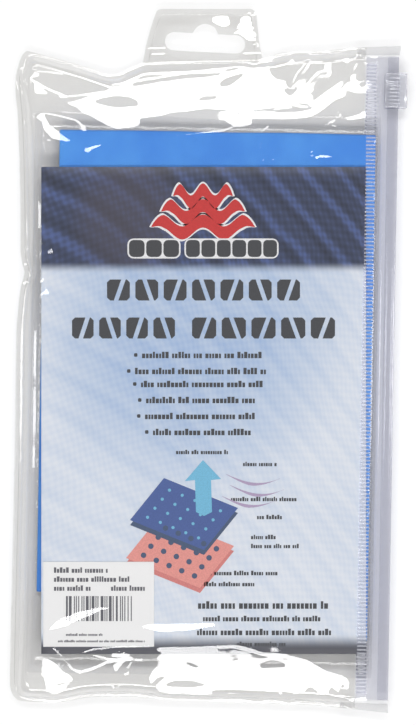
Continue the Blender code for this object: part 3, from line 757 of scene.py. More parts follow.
@dataclass
class Relief:
    """The front film's height over the whole photograph, one value a pixel.

    Attributes:
        gleams: the patches that mirror a lamp.
        hold: how firmly the film keeps its plain shape away from them, per square pixel.
        grip: how much more firmly a gleam keeps its lean.
        rounds: steps of the solver.
    """

    gleams: tuple[Gleam, ...] = GLEAMS
    hold: float = 0.003
    grip: float = 22.0
    rounds: int = 220
    eye: tuple[float, float, float] = (*PHOTO.centre, 1.2)
    size: tuple[int, int] = (416, 725)

    def solve(self, plain: Array, fixed: Array) -> Array:
        """Leans the gleams to their lamps and eases the film between them.

        Args:
            plain: the film's plain height, in metres.
            fixed: where the film is welded and stays plain.

        Returns:
            The height with its gleams.
        """
        down, across = np.mgrid[0 : self.size[1], 0 : self.size[0]].astype(float)
        cover, lean_across, lean_down = self.leans(across, down)
        step_x, step_y = np.diff(plain, axis=1), np.diff(plain, axis=0)
        cover_x = (cover[:, 1:] + cover[:, :-1]) / 2
        cover_y = (cover[1:] + cover[:-1]) / 2
        goal_x = (lean_across[:, 1:] + lean_across[:, :-1]) / 2 * PHOTO.pixel
        goal_y = (lean_down[1:] + lean_down[:-1]) / 2 * PHOTO.pixel
        weight_x, weight_y = 1 + self.grip * cover_x, 1 + self.grip * cover_y
        keep = np.where(fixed, 30.0, self.hold)

        def spread(flow_x: Array, flow_y: Array) -> Array:
            """Gathers flows between neighbours at each place."""
            out = np.zeros_like(plain)
            out[:, 1:] += flow_x
            out[:, :-1] -= flow_x
            out[1:] += flow_y
            out[:-1] -= flow_y
            return out

        def apply(lift: Array) -> Array:
            """The solver's matrix times a lift."""
            flow_x = weight_x * np.diff(lift, axis=1)
            return keep * lift + spread(flow_x, weight_y * np.diff(lift, axis=0))

        wanted = spread(
            weight_x * cover_x * (goal_x - step_x), weight_y * cover_y * (goal_y - step_y)
        )
        scale = 1.0 / (keep + 4.0 + 4.0 * self.grip * cover)
        lift = np.zeros_like(plain)
        rest = wanted.copy()
        way = rest * scale
        size = float((rest * way).sum())
        for _ in range(self.rounds):
            moved = apply(way)
            share = size / float((way * moved).sum())
            lift += share * way
            rest -= share * moved
            eased = rest * scale
            new_size = float((rest * eased).sum())
            way = eased + way * (new_size / size)
            size = new_size
        return plain + lift

    def leans(self, across: Array, down: Array) -> tuple[Array, Array, Array]:
        """The gleams' cover, and the slopes that they ask for along and down the photograph."""
        cover = np.zeros_like(across)
        lean_x, lean_y = np.zeros_like(across), np.zeros_like(across)
        x, y = PHOTO.place(across, down)
        slopes = {lamp: self.aim(x, y, lamp) for lamp in Lamp}
        for gleam in self.gleams:
            places = np.array(gleam.path)
            reach = gleam.half_width + 2
            left, high = np.maximum(places.min(axis=0) - reach, 0).astype(int)
            right, low = (places.max(axis=0) + reach + 1).astype(int)
            window = (slice(high, low), slice(left, right))
            share = gleam.cover(across[window], down[window])
            level = np.zeros(cover.shape)
            goal_x, goal_y = slopes[gleam.lamp] if gleam.lamp else (level, level)
            lean_x[window] += share * (goal_x[window] - lean_x[window])
            lean_y[window] += share * (goal_y[window] - lean_y[window])
            cover[window] = np.maximum(cover[window], share)
        return cover, lean_x, lean_y

    def aim(self, x: Array, y: Array, lamp: Lamp) -> tuple[Array, Array]:
        """The slopes, along and down the photograph, that mirror a lamp into the camera."""
        halfway = 0.0
        for target in (self.eye, lamp.value):
            ray = np.stack([target[0] - x, target[1] - y, np.full_like(x, target[2])])
            halfway = halfway + ray / np.linalg.norm(ray, axis=0)
        return -halfway[0] / halfway[2], halfway[1] / halfway[2]


def sample(field: Array, across: Array, down: Array) -> Array:
    """Reads a field of one value a pixel between its places."""
    across = np.clip(across, 0, field.shape[1] - 1.001)
    down = np.clip(down, 0, field.shape[0] - 1.001)
    i, j = across.astype(int), down.astype(int)
    u, v = across - i, down - j
    upper = field[j, i] * (1 - u) + field[j, i + 1] * u
    lower = field[j + 1, i] * (1 - u) + field[j + 1, i + 1] * u
    return upper * (1 - v) + lower * v


@dataclass
class VinylPouch:
    """The clear pouch: front and back film, welds, hang tab with its slot and end welds."""

    seam: float = 4.22 * MM
    front: float = 8.30 * MM
    back: float = 0.12 * MM
    weld: float = 7.0
    left_margin: float = 15.0
    film_right: float = 48.45 * MM
    columns: int = 330
    shoulder: float = 9.0
    relief: Array = field(default_factory=lambda: np.zeros((2, 2)))
    left_edge: tuple[Point, ...] = (
        (46.0, 31.0), (50.0, 26.0), (55.0, 21.3), (66.0, 17.6), (76.0, 15.3), (90.0, 14.9),
        (108.0, 16.6), (130.0, 17.9), (180.0, 19.3), (220.0, 19.9), (250.0, 20.0),
        (262.0, 21.6), (271.0, 24.0), (278.0, 22.6), (290.0, 19.6), (303.0, 18.2),
        (335.0, 15.7), (420.0, 14.6), (480.0, 13.5), (540.0, 12.1), (600.0, 10.8),
        (650.0, 9.7), (682.0, 9.3), (690.0, 9.9), (696.0, 12.2), (701.0, 18.0),
    )
    top_edge: tuple[Point, ...] = (
        (27.0, 50.0), (46.0, 55.0), (75.0, 63.0), (95.0, 69.5), (106.0, 73.0), (111.5, 74.0),
        (120.0, 73.0), (128.0, 68.0), (137.0, 64.2), (145.0, 61.5), (200.0, 60.0),
        (262.0, 58.2), (270.0, 56.0), (280.0, 52.4), (292.0, 51.0), (328.0, 49.8),
        (349.5, 47.3), (370.0, 46.0), (400.0, 45.0),
    )
    bottom_edge: tuple[Point, ...] = (
        (12.0, 700.0), (18.0, 701.5), (28.0, 702.6), (55.0, 703.0), (68.0, 702.0),
        (83.0, 699.0), (102.0, 697.6), (120.0, 697.2), (161.0, 700.0), (238.0, 703.0),
        (314.0, 706.0), (340.0, 708.6), (388.0, 714.0),
    )
    head_shoulder: tuple[Point, ...] = (
        (15.0, 0.72), (60.0, 0.66), (100.0, 0.42), (150.0, 0.22), (250.0, 0.20), (280.0, 0.42),
        (330.0, 0.52), (380.0, 0.70),
    )
    head_end: tuple[Point, ...] = (
        (15.0, 132.0), (130.0, 134.0), (270.0, 134.0), (380.0, 130.0),
    )
    foot_shoulder: tuple[Point, ...] = (
        (10.0, 0.66), (60.0, 0.66), (150.0, 0.64), (172.0, 0.40), (290.0, 0.40), (340.0, 0.62),
        (390.0, 0.66),
    )
    foot_end: tuple[Point, ...] = ((10.0, 642.0), (150.0, 646.0), (250.0, 644.0), (390.0, 648.0))
    tab_left: tuple[Point, ...] = (
        (8.0, 161.0), (9.0, 158.0), (11.0, 156.2), (14.0, 155.0), (26.0, 151.0), (47.0, 145.5),
        (60.0, 143.0), (66.0, 141.5),
    )
    tab_right: tuple[Point, ...] = (
        (8.0, 250.5), (9.0, 253.0), (11.0, 255.2), (14.0, 256.4), (25.0, 257.6), (45.0, 259.8),
        (58.0, 262.3), (66.0, 263.5),
    )
    tab_top: float = 8.0

    def build(self) -> list[bpy.types.Object]:
        """Builds the films, the tab and the welds, and dresses them."""
        down, across = np.mgrid[0:725, 0:416].astype(float)
        tab = (down < 64) & (across > follow(self.tab_left, down))
        tab &= across < follow(self.tab_right, down)
        plain = np.where(tab, self.seam, self.plain_height(across, down, 1))
        self.relief = Relief().solve(plain, (self.inset(across, down) < 1.5) & ~tab)
        pieces = [
            self.film("pouch_front_film", 1),
            self.film("pouch_back_film", -1),
            self.hang_tab(),
            self.end_weld("top_end_weld", 1),
            self.end_weld("bottom_end_weld", -1),
            self.weld_line(),
            self.tab_line(),
        ]
        for piece in pieces:
            welded = piece.name.endswith("end_weld")
            dress(piece, WELD if welded else VINYL, Slot.VINYL)
            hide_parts("pouch_film")
        return pieces

    def film(self, name: str, side: int) -> bpy.types.Object:
        """One film of the pouch: side is 1 for the front and -1 for the back."""
        across, down = self.net(1 if side > 0 else 2)
        x, y = PHOTO.place(across, down)
        return sheet_object(name, x, y, self.height(across, down, side), flip=side > 0)

    def net(self, thinning: int) -> tuple[Array, Array]:
        """The film's grid of pixels, closer spaced over the folds of its head and foot."""
        u = np.linspace(0.0, 1.0, self.columns // thinning)
        head = np.linspace(0.0, 0.19, 100 // thinning, endpoint=False)
        body = np.linspace(0.19, 0.88, 120 // thinning, endpoint=False)
        foot = np.linspace(0.88, 1.0, 70 // thinning)
        u, v = np.meshgrid(u, np.concatenate([head, body, foot]))
        guess = 14.0 + u * 356.0
        top, bottom = follow(self.top_edge, guess), follow(self.bottom_edge, guess)
        down = top + (bottom - top) * v
        left = follow(self.left_edge, down)
        right = PHOTO.pixels(np.full_like(down, self.film_right), PHOTO.place(guess, down)[1])[0]
        across = left + (right - left) * u
        top, bottom = follow(self.top_edge, across), follow(self.bottom_edge, across)
        return across, top + (bottom - top) * v

    def inset(self, across: Array, down: Array) -> Array:
        """How far inside the pouch's outline a place is, in pixels."""
        edge = np.minimum(across - follow(self.left_edge, down), down - follow(self.top_edge, across))
        return np.minimum(edge, follow(self.bottom_edge, across) - down)

    def height(self, across: Array, down: Array, side: int) -> Array:
        """The film's height at photograph pixels."""
        if side > 0:
            return sample(self.relief, across, down)
        return self.plain_height(across, down, side)

    def plain_height(self, across: Array, down: Array, side: int) -> Array:
        """The film's height before its front leans to any lamp."""
        left = follow(self.left_edge, down)
        share = pillow(across - left - self.weld, self.left_margin)
        top = follow(self.top_edge, across)
        slow = np.clip((down - top) / (follow(self.head_end, across) - top), 0, 1)
        quick = follow(self.head_shoulder, across)
        share = share * (quick * pillow(down - top - 4.0, self.shoulder) + (1 - quick) * slow)
        low = follow(self.bottom_edge, across)
        slow = np.clip((low - down) / (low - follow(self.foot_end, across)), 0, 1)
        quick = follow(self.foot_shoulder, across)
        share = share * (quick * pillow(low - down - 4.0, self.shoulder) + (1 - quick) * slow)
        if side < 0:
            return self.seam + (self.back - self.seam) * pillow(share, 1.0)
        wave = ripples(across, down, 46.0, 3.0, 2) * 0.09 * MM
        edge = self.inset(across, down)
        grooves = 0.05 * MM * np.exp(-(((edge - 5.0) / 0.9) ** 2))
        inside = ease(1.0, 14.0, edge)
        return self.seam + (self.front - self.seam) * share + wave * inside + grooves

    def flat_shape(
        self, name: str, loops: Sequence[Sequence[Point]], low: float, high: float
    ) -> bpy.types.Object:
        """A flat plate of film between two heights, from pixel outlines; later loops are holes."""
        curve = bpy.data.curves.new(name, "CURVE")
        curve.dimensions = "2D"
        curve.fill_mode = "BOTH"
        curve.extrude = (high - low) / 2
        for loop in loops:
            spline = curve.splines.new("POLY")
            spline.points.add(len(loop) - 1)
            for point, (across, down) in zip(spline.points, loop):
                px, py = PHOTO.place(np.array(across), np.array(down))
                point.co = (float(px), float(py), 0.0, 1.0)
            spline.use_cyclic_u = True
        mesh = curve_mesh(curve)
        mesh.transform(Matrix.Translation((0.0, 0.0, (low + high) / 2)))
        mesh.set_sharp_from_angle(angle=math.radians(35.0))
        return link(mesh, name)

    def hang_tab(self) -> bpy.types.Object:
        """The hang tab with its long slot."""
        u, v = np.meshgrid(np.linspace(0, 1, 150), np.linspace(0, 1, 84))
        guess = 155.0 + u * 100.0
        low = follow(self.top_edge, guess) + 1.0
        down = self.tab_top + (low - self.tab_top) * v
        left, right = follow(self.tab_left, down), follow(self.tab_right, down)
        across = left + (right - left) * u
        x, y = PHOTO.place(across, down)
        tab = sheet_object("hang_tab", x, y, self.height(across, down, 1) + 0.15 * MM, flip=True)
        thick = tab.modifiers.new("thickness", "SOLIDIFY")
        thick.thickness = 0.3 * MM
        thick.offset = -1.0
        cutter = self.flat_shape("slot_cutter", [self.slot_loop()], 0.0, 9 * MM)
        cut = tab.modifiers.new("slot", "BOOLEAN")
        cut.operation = "DIFFERENCE"
        cut.solver = "EXACT"
        cut.object = cutter
        apply_modifiers(tab)
        bpy.data.objects.remove(cutter, do_unlink=True)
        tab.data.shade_smooth()
        tab.data.set_sharp_from_angle(angle=math.radians(50.0))
        return tab

    @staticmethod
    def slot_loop() -> list[Point]:
        """The slot's outline: round ends, and a round rise over the middle."""
        end, reach, bump, lift = 9.3, 31.0, 13.0, 6.0
        centre, turn = (205.0, 42.0), math.radians(3.0)
        base = math.degrees(math.asin((end - lift) / bump))
        loop = arc_points((reach, 0.0), end, 90.0, -90.0)
        loop += arc_points((0.0, -lift), bump, -base, -(180.0 - base))
        loop += arc_points((-reach, 0.0), end, -90.0, -270.0)
        cos, sin = math.cos(turn), math.sin(turn)
        return [(centre[0] + x * cos - y * sin, centre[1] + x * sin + y * cos) for x, y in loop]

    def end_weld(self, name: str, side: int) -> bpy.types.Object:
        """The flat welded end over the zip: side is 1 at the head and -1 at the foot."""
        if side > 0:
            outline = [(358.0, 46.8), (401.5, 45.2), (400.4, 54.0), (364.0, 54.2), (358.0, 53.0)]
        else:
            outline = [(340.0, 702.5), (374.5, 704.6), (388.2, 704.8), (388.6, 713.8), (340.0, 708.4)]
        thick = 0.24 * MM
        return self.flat_shape(name, [outline], self.seam - thick, self.seam + thick)

    def weld_line(self) -> bpy.types.Object:
        """The thin raised line where the heat seal presses the film's rim."""
        points = [(19.0, 76.0)] + [
            (float(follow(self.left_edge, np.array(down))) + 4.6, float(down))
            for down in np.linspace(86.0, 686.0, 80)
        ]
        points += [
            (float(across), float(follow(self.bottom_edge, np.array(across))) - 4.8)
            for across in np.linspace(20.0, 345.0, 50)
        ]
        return thread("pouch_weld_line", points, self.seam + 0.22 * MM, 0.08 * MM)

    def tab_line(self) -> bpy.types.Object:
        """The heat seal's raised line inside the tab's rim."""
        downs = np.linspace(60.0, 16.0, 14)
        points = [(float(follow(self.tab_left, down)) + 5.5, float(down)) for down in downs]
        points += [(163.0, 13.4), (248.0, 14.0)]
        points += [(float(follow(self.tab_right, down)) - 5.5, float(down)) for down in downs[::-1]]
        return thread("tab_weld_line", points, self.seam + 0.22 * MM, 0.08 * MM)


def curve_mesh(curve: bpy.types.Curve) -> bpy.types.Mesh:
    """The mesh of a curve."""
    holder = bpy.data.objects.new(curve.name, curve)
    bpy.context.scene.collection.objects.link(holder)
    bpy.context.view_layer.update()
    mesh = bpy.data.meshes.new_from_object(holder)
    bpy.data.objects.remove(holder, do_unlink=True)
    return mesh


def arc_points(
    centre: Point, radius: float, start: float, end: float, steps: int = 14
) -> list[Point]:
    """Points of an arc, its angles in degrees."""
    return [
        (
            centre[0] + radius * math.cos(math.radians(start + (end - start) * k / steps)),
            centre[1] + radius * math.sin(math.radians(start + (end - start) * k / steps)),
        )
        for k in range(steps + 1)
    ]


def thread(name: str, points: Sequence[Point], height: float, radius: float) -> bpy.types.Object:
    """A thin raised bead along photograph pixels, at one height."""
    curve = bpy.data.curves.new(name, "CURVE")
    curve.dimensions = "3D"
    curve.bevel_depth = radius
    curve.bevel_resolution = 2
    curve.use_fill_caps = True
    spline = curve.splines.new("POLY")
    spline.points.add(len(points) - 1)
    for point, (across, down) in zip(spline.points, points):
        x, y = PHOTO.place(np.array(across), np.array(down))
        point.co = (float(x), float(y), height, 1.0)
    mesh = curve_mesh(curve)
    mesh.shade_smooth()
    return link(mesh, name)


@dataclass
class PressZip:
    """The zip down the pouch's side: two tapes with rails, and the ladder weld."""

    seam: float = 4.22 * MM
    tape_left: float = 48.55 * MM
    slope_start: float = 51.85 * MM
    slope_end: float = 54.35 * MM
    rail_left: float = 55.35 * MM
    rail_right: float = 58.75 * MM
    low: float = -105.92 * MM
    high: float = 95.82 * MM
    rail_half: float = 1.5 * MM
    tick_pitch: float = 1.16 * MM
    tick_left: float = 48.75 * MM
    tick_right: float = 52.0 * MM

    def build(self, pouch: VinylPouch) -> list[bpy.types.Object]:
        """Builds both strips and the ladder weld, and dresses them."""
        pieces = []
        for side, node in ((1, "zip_front_strip"), (-1, "zip_back_strip")):
            strip = self.strip(f"zip_{'front' if side > 0 else 'back'}_tape", side, pouch)
            ladder = self.ladder(f"zip_{'front' if side > 0 else 'back'}_ladder", side, pouch)
            for piece, finish in ((strip, ZIP_PLASTIC), (ladder, LADDER_PLASTIC)):
                dress(piece, finish, Slot.ZIP)
                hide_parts(node)
                pieces.append(piece)
        return pieces

    def tape_height(self, x: Array, y: Array, side: int, pouch: VinylPouch) -> Array:
        """The height of a tape's outer face."""
        held = np.minimum(x, self.slope_start)
        across, down = PHOTO.pixels(held, y)
        film = pouch.height(across, down, side) + side * 0.06 * MM
        if side < 0:
            film = np.maximum(film, 0.0)
        rail = self.seam + side * self.rail_half
        return film + (rail - film) * ease(self.slope_start, self.slope_end, x)

    def strip(self, name: str, side: int, pouch: VinylPouch) -> bpy.types.Object:
        """One strip: the tape, and its rail with two ribs."""
        rows = np.linspace(self.low, self.high, 160)
        across = np.concatenate([
            np.linspace(self.tape_left, self.slope_start, 6, endpoint=False),
            np.linspace(self.slope_start, self.rail_left, 12, endpoint=False),
        ])
        x, y = np.meshgrid(across, rows)
        z = self.tape_height(x, y, side, pouch)
        rail_x, rail_z = self.rail_profile(side)
        count = len(rows)
        x = np.concatenate([x, np.tile(rail_x, (count, 1))], axis=1)
        z = np.concatenate([z, np.tile(rail_z, (count, 1))], axis=1)
        y = np.tile(rows[:, None], (1, x.shape[1]))
        strip = sheet_object(name, x, y, z, flip=side < 0)
        strip.data.set_sharp_from_angle(angle=math.radians(50.0))
        return strip

    def rail_profile(self, side: int) -> tuple[Array, Array]:
        """The rail's section: its outer face with ribs, then round to its inner face."""
        level = self.seam + side * self.rail_half
        width = self.rail_right - self.rail_left
        xs, zs = [self.rail_left], [level]
        for share in (0.22, 0.72):
            middle = self.rail_left + share * width
            for step in range(9):
                turn = math.pi * step / 8
                xs.append(middle - 0.35 * MM * math.cos(turn))
                zs.append(level + side * 0.25 * MM * math.sin(turn))
        xs += [self.rail_right - 0.15 * MM, self.rail_right, self.rail_right, self.rail_left]
        zs += [level, level - side * 0.15 * MM, self.seam + side * 0.15 * MM]
        zs += [self.seam + side * 0.15 * MM]
        return np.array(xs), np.array(zs)

    def ladder(self, name: str, side: int, pouch: VinylPouch) -> bpy.types.Object:
        """The row of short raised ticks that welds the tape to the film."""
        low, high = self.low + 1.5 * MM, self.high - 1.0 * MM
        count = int((high - low) / self.tick_pitch)
        across = np.linspace(self.tick_left, self.tick_right, 7)
        points: list[Array] = []
        faces: list[list[int]] = []
        for tick in range(count):
            middle = low + (tick + 0.5) * self.tick_pitch
            turns = np.linspace(0.0, math.pi, 6)
            x, turn = np.meshgrid(across, turns)
            y = middle - 0.30 * MM * np.cos(turn)
            along = np.clip((x - self.tick_left) / (self.tick_right - self.tick_left), 0, 1)
            taper = np.sin(np.pi * along) ** 0.3
            rise = 0.20 * MM * np.sin(turn) * taper - 0.01 * MM
            z = self.tape_height(x, y, side, pouch) + side * rise
            start = len(points) * x.size
            points.append(np.stack([x, y, z], axis=-1).reshape(-1, 3))
            faces += grid_faces(*x.shape, start=start, flip=side < 0)
        return mesh_object(name, np.concatenate(points), faces)


@dataclass
class ZipSlider:
    """The moulded slider with its ribbed grip."""

    plate: float = 1.0 * MM
    bevel: float = 0.35 * MM
    ridges: int = 8

    def build(self) -> bpy.types.Object:
        """Builds the slider inside its CAD box and dresses it."""
        low, high = (np.array(corner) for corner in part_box("zip_slider"))
        middle = (low[2] + high[2] - 0.4 * MM) / 2
        half = (high[2] - 0.4 * MM - low[2]) / 2
        builder = bmesh.new()
        inner_right = high[0] - 2.3 * MM
        outline = [
            (low[0], -half),
            (high[0], -half),
            (high[0], half),
            (low[0], half),
            (low[0], half - self.plate),
            (inner_right, half - self.plate),
            (inner_right, self.plate - half),
            (low[0], self.plate - half),
        ]
        rings = [
            [builder.verts.new((x, y, middle + z)) for x, z in outline] for y in (low[1], high[1])
        ]
        for here in range(len(outline)):
            after = (here + 1) % len(outline)
            builder.faces.new((rings[0][here], rings[0][after], rings[1][after], rings[1][here]))
        builder.faces.new(rings[0])
        builder.faces.new(rings[1])
        self.add_grip(builder, low, high, middle + half)
        bmesh.ops.recalc_face_normals(builder, faces=builder.faces)
        mesh = bpy.data.meshes.new("moulded_slider")
        builder.to_mesh(mesh)
        builder.free()
        slider = link(mesh, "moulded_slider")
        round_edges(slider, self.bevel, 3)
        dress(slider, SLIDER_PLASTIC, Slot.SLIDER, Body.SLIDER)
        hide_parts("zip_slider")
        return slider

    def add_grip(self, builder: bmesh.types.BMesh, low: Array, high: Array, top: float) -> None:
        """Adds the row of grip ridges on the slider's face."""
        left, right = low[0] + 1.3 * MM, high[0] - 2.1 * MM
        pitch = (high[1] - low[1] - 1.8 * MM) / self.ridges
        for ridge in range(self.ridges):
            start = low[1] + 0.9 * MM + ridge * pitch
            corners = [
                builder.verts.new((x, y, z))
                for z in (top - 0.2 * MM, top + 0.35 * MM)
                for x, y in (
                    (left, start + 0.1 * MM),
                    (right, start + 0.1 * MM),
                    (right, start + 0.75 * MM),
                    (left, start + 0.75 * MM),
                )
            ]
            for face in ((0, 1, 2, 3), (4, 5, 6, 7), (0, 1, 5, 4), (1, 2, 6, 5), (2, 3, 7, 6), (3, 0, 4, 7)):
                builder.faces.new([corners[k] for k in face])


def round_edges(piece: bpy.types.Object, width: float, segments: int) -> None:
    """Rounds a piece's edges with a bevel that is applied to its mesh."""
    modifier = piece.modifiers.new("rounding", "BEVEL")
    modifier.width = width
    modifier.segments = segments
    modifier.limit_method = "ANGLE"
    apply_modifiers(piece)
    piece.data.shade_smooth()
    piece.data.set_sharp_from_angle(angle=math.radians(60.0))


def apply_modifiers(piece: bpy.types.Object) -> None:
    """Turns a piece's modifiers into plain mesh."""
    graph = bpy.context.evaluated_depsgraph_get()
    mesh = bpy.data.meshes.new_from_object(piece.evaluated_get(graph))
    old = piece.data
    piece.modifiers.clear()
    piece.data = mesh
    bpy.data.meshes.remove(old)


@dataclass
class InnerBag:
    """The thin crinkled bag round the wrap, open at its mouth."""

    columns: int = 150
    rows: int = 220
    seam: float = 4.22 * MM

    def build(self) -> bpy.types.Object:
        """Builds the two crinkled walls as one piece and dresses it."""
        low, high = (np.array(corner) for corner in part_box("inner_bag"))
        u, v = np.meshgrid(np.linspace(0, 1, self.columns), np.linspace(0, 1, self.rows))
        x = low[0] + (high[0] - low[0]) * u
        y = low[1] + (high[1] - low[1]) * v
        y = y + 0.9 * MM * np.sin(u * 9.0) * v**6
        share = pillow(x - low[0] - 0.5 * MM, 2.4 * MM) * pillow(high[0] - x, 1.6 * MM)
        share = share * pillow(y - low[1], 6.0 * MM)
        share = share * (0.10 + 0.90 * pillow(high[1] - y, 5.5 * MM))
        points, faces = [], []
        for side, level in ((1, high[2] - 0.06 * MM), (-1, low[2] + 0.06 * MM)):
            crinkle = self.crinkle(x, y, 11.0 + side)
            room = (0.14 + 0.50 * (1.0 - ease(0.0, 10 * MM, x - low[0])) * ease(0.5, 1.0, v)) * MM
            z = self.seam + (level - self.seam) * share + crinkle * room * np.clip(share * 3, 0, 1)
            faces += grid_faces(*x.shape, start=len(points) * x.size, flip=side < 0)
            points.append(np.stack([x, y, z], axis=-1).reshape(-1, 3))
        bag = mesh_object("crinkled_inner_bag", np.concatenate(points), faces)
        dress(bag, THIN_BAG, Slot.BAG)
        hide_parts("inner_bag")
        return bag

    @staticmethod
    def crinkle(x: Array, y: Array, seed: float) -> Array:
        """Sharp little folds from -1 to 1."""
        folds = 1.0 - 2.0 * np.abs(ripples(x, y, 7.0 * MM, seed, 4))
        fine = 1.0 - 2.0 * np.abs(ripples(x, y, 2.4 * MM, seed + 3.0, 2))
        return np.clip(0.65 * folds + 0.35 * fine, -1.0, 1.0)


@dataclass
class FoldedWrap:
    """The long foam strip folded in five, with its slit."""

    width: float = 99.0 * MM
    length: float = 745.0 * MM
    wall: float = 1.0 * MM
    gap: float = 0.1 * MM
    layers: int = 5
    left: float = -47.15 * MM
    base: float = -78.20 * MM
    side_slip: float = 4.9 * MM
    slit_length: float = 55.0 * MM
    slit_width: float = 0.8 * MM
    slit_from_end: float = 25.0 * MM
    turn_heights: tuple[float, ...] = (-0.060, 1.000, -0.006, 0.995, 0.032)
    turn_slips: tuple[float, ...] = (0.0, 0.0, 0.1, 0.0, 1.0, 0.0)

    def build(self) -> bpy.types.Object:
        path = self.path()
        across = self.columns()
        left = np.array([self.left - self.side_slip * row[3] for row in path])
        y, z, angle = (np.array([row[k] for row in path]) for k in (0, 1, 2))
        count, width = len(path), len(across)
        x = left[:, None] + across[None, :]
        sag = self.soft_edge(across)
        points, faces = [], []
        for side in (1, -1):
            reach = side * self.wall / 2 * sag[None, :]
            wave = ripples(x, np.cumsum(np.ones_like(x), axis=0) * 2 * MM, 30 * MM, 2.0)
            y_side = y[:, None] + reach * np.sin(angle)[:, None]
            z_side = z[:, None] + reach * np.cos(angle)[:, None]
            edge = 0.25 * MM * wave * (np.abs(np.sin(angle)) > 0.5)[:, None]
            points.append(np.stack([x, y_side + edge, z_side], axis=-1).reshape(-1, 3))
            faces += self.faces(side, count, width, path)
        faces += self.rims(count, width)
        wrap = mesh_object("folded_wrap", np.concatenate(points), faces)
        wrap.data.set_sharp_from_angle(angle=math.radians(70.0))
        dress(wrap, FOAM, Slot.CLOTH)
        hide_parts("neck_wrap")
        return wrap

    def columns(self) -> Array:
        """Places across the strip, close together at its edges and beside the slit."""
        half = self.width / 2
        edge = np.array([0.0, 0.15, 0.4, 0.9, 2.0]) * MM
        slit = self.slit_width / 2
        inner = np.linspace(edge[-1], half - slit, 12)[1:]
        side = np.concatenate([edge, inner])
        return np.concatenate([side, (self.width - side)[::-1]])

    def soft_edge(self, across: Array) -> Array:
        """The wall's share across the strip: its cut edges are slightly rounded."""
        reach = np.minimum(across, self.width - across)
        share = np.clip(reach / (0.5 * MM), 0, 1)
        return 0.45 + 0.55 * np.sqrt(np.clip(1 - (1 - share) ** 2, 0, 1))

    def path(self) -> list[tuple[float, float, float, float]]:
        """The strip's middle line as (y, z, turn of its normal, slip)."""
        layer_length = self.length / self.layers
        pitch = self.wall + self.gap
        radius = pitch / 2
        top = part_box("neck_wrap")[1][2]
        heights = [self.base + share * layer_length for share in self.turn_heights]
        used = 0.0
        for layer, (here, after) in enumerate(zip(heights, heights[1:])):
            rounds = 1 if layer == 0 else 2
            used += abs(after - here) - rounds * radius + math.pi * radius
        heights.append(heights[-1] + radius + self.length - used)
        rows = []
        for layer in range(self.layers):
            z = top - self.wall / 2 - layer * pitch
            way = 1 if layer % 2 == 0 else -1
            start = heights[layer] + (way * radius if layer else 0.0)
            last = layer == self.layers - 1
            end = heights[layer + 1] - (0.0 if last else way * radius)
            low_slip, high_slip = self.turn_slips[layer : layer + 2][::way]
            for share in np.linspace(0.0, 1.0, 60):
                y = start + (end - start) * share
                down = (self.base + layer_length - y) / layer_length
                slip = high_slip + (low_slip - high_slip) * float(ease(0.06, 0.48, down))
                rows.append((y, z, 0.0 if way > 0 else math.pi, slip))
            if last:
                break
            for step in range(1, 12):
                turn = math.pi * step / 12
                y = end + way * radius * math.sin(turn)
                depth = z - radius + radius * math.cos(turn)
                rows.append((y, depth, turn if way > 0 else math.pi - turn, self.turn_slips[layer + 1]))
        return rows

    def in_slit(self, row: int, column: int, width: int, path: list[tuple[float, ...]]) -> bool:
        """Whether a cell of the strip's net is cut away by the slit."""
        end = path[-1][0]
        on_last = row >= len(path) - 60
        y = path[row][0]
        inside = end - self.slit_from_end - self.slit_length <= y <= end - self.slit_from_end
        return on_last and inside and column == width // 2 - 1

    def faces(
        self, side: int, count: int, width: int, path: list[tuple[float, ...]]
    ) -> list[list[int]]:
        """The quads of one face of the strip, with the slit left out."""
        start = 0 if side > 0 else count * width
        quads = []
        for row in range(count - 1):
            for column in range(width - 1):
                first = start + row * width + column
                corners = [first, first + 1, first + width + 1, first + width]
                if self.in_slit(row, column, width, path):
                    if side > 0:
                        quads += self.slit_walls(row, column, count, width, path)
                    continue
                quads.append(corners if side > 0 else corners[::-1])
        return quads

    def slit_walls(
        self, row: int, column: int, count: int, width: int, path: list[tuple[float, ...]]
    ) -> list[list[int]]:
        """The cut walls beside one open cell of the slit."""
        under = count * width
        a = row * width + column
        b, c, d = a + 1, a + width + 1, a + width
        walls = [[a, d, d + under, a + under], [c, b, b + under, c + under]]
        if not self.in_slit(row - 1, column, width, path):
            walls.append([b, a, a + under, b + under])
        if not self.in_slit(row + 1, column, width, path):
            walls.append([d, c, c + under, d + under])
        return walls

    @staticmethod
    def rims(count: int, width: int) -> list[list[int]]:
        """The strip's four cut edges."""
        under = count * width
        quads = []
        for row in range(count - 1):
            for column, flip in ((0, False), (width - 1, True)):
                a, b = row * width + column, (row + 1) * width + column
                quads.append([b, a, a + under, b + under] if flip else [a, b, b + under, a + under])
        for column in range(width - 1):
            for row, flip in ((0, True), (count - 1, False)):
                a, b = row * width + column, row * width + column + 1
                quads.append([b, a, a + under, b + under] if flip else [a, b, b + under, a + under])
        return quads


class Ink(Enum):
    """The inks of the card and its label."""

    DARK = DARK_INK
    WHITE = WHITE_INK
    RED = RED_INK
    NAVY = NAVY_INK
    PINK = PINK_INK
    AQUA = AQUA_INK
    GREY = GREY_INK
    DEEP = DEEP_INK
    ROSE = ROSE_INK
    MAUVE = MAUVE_INK


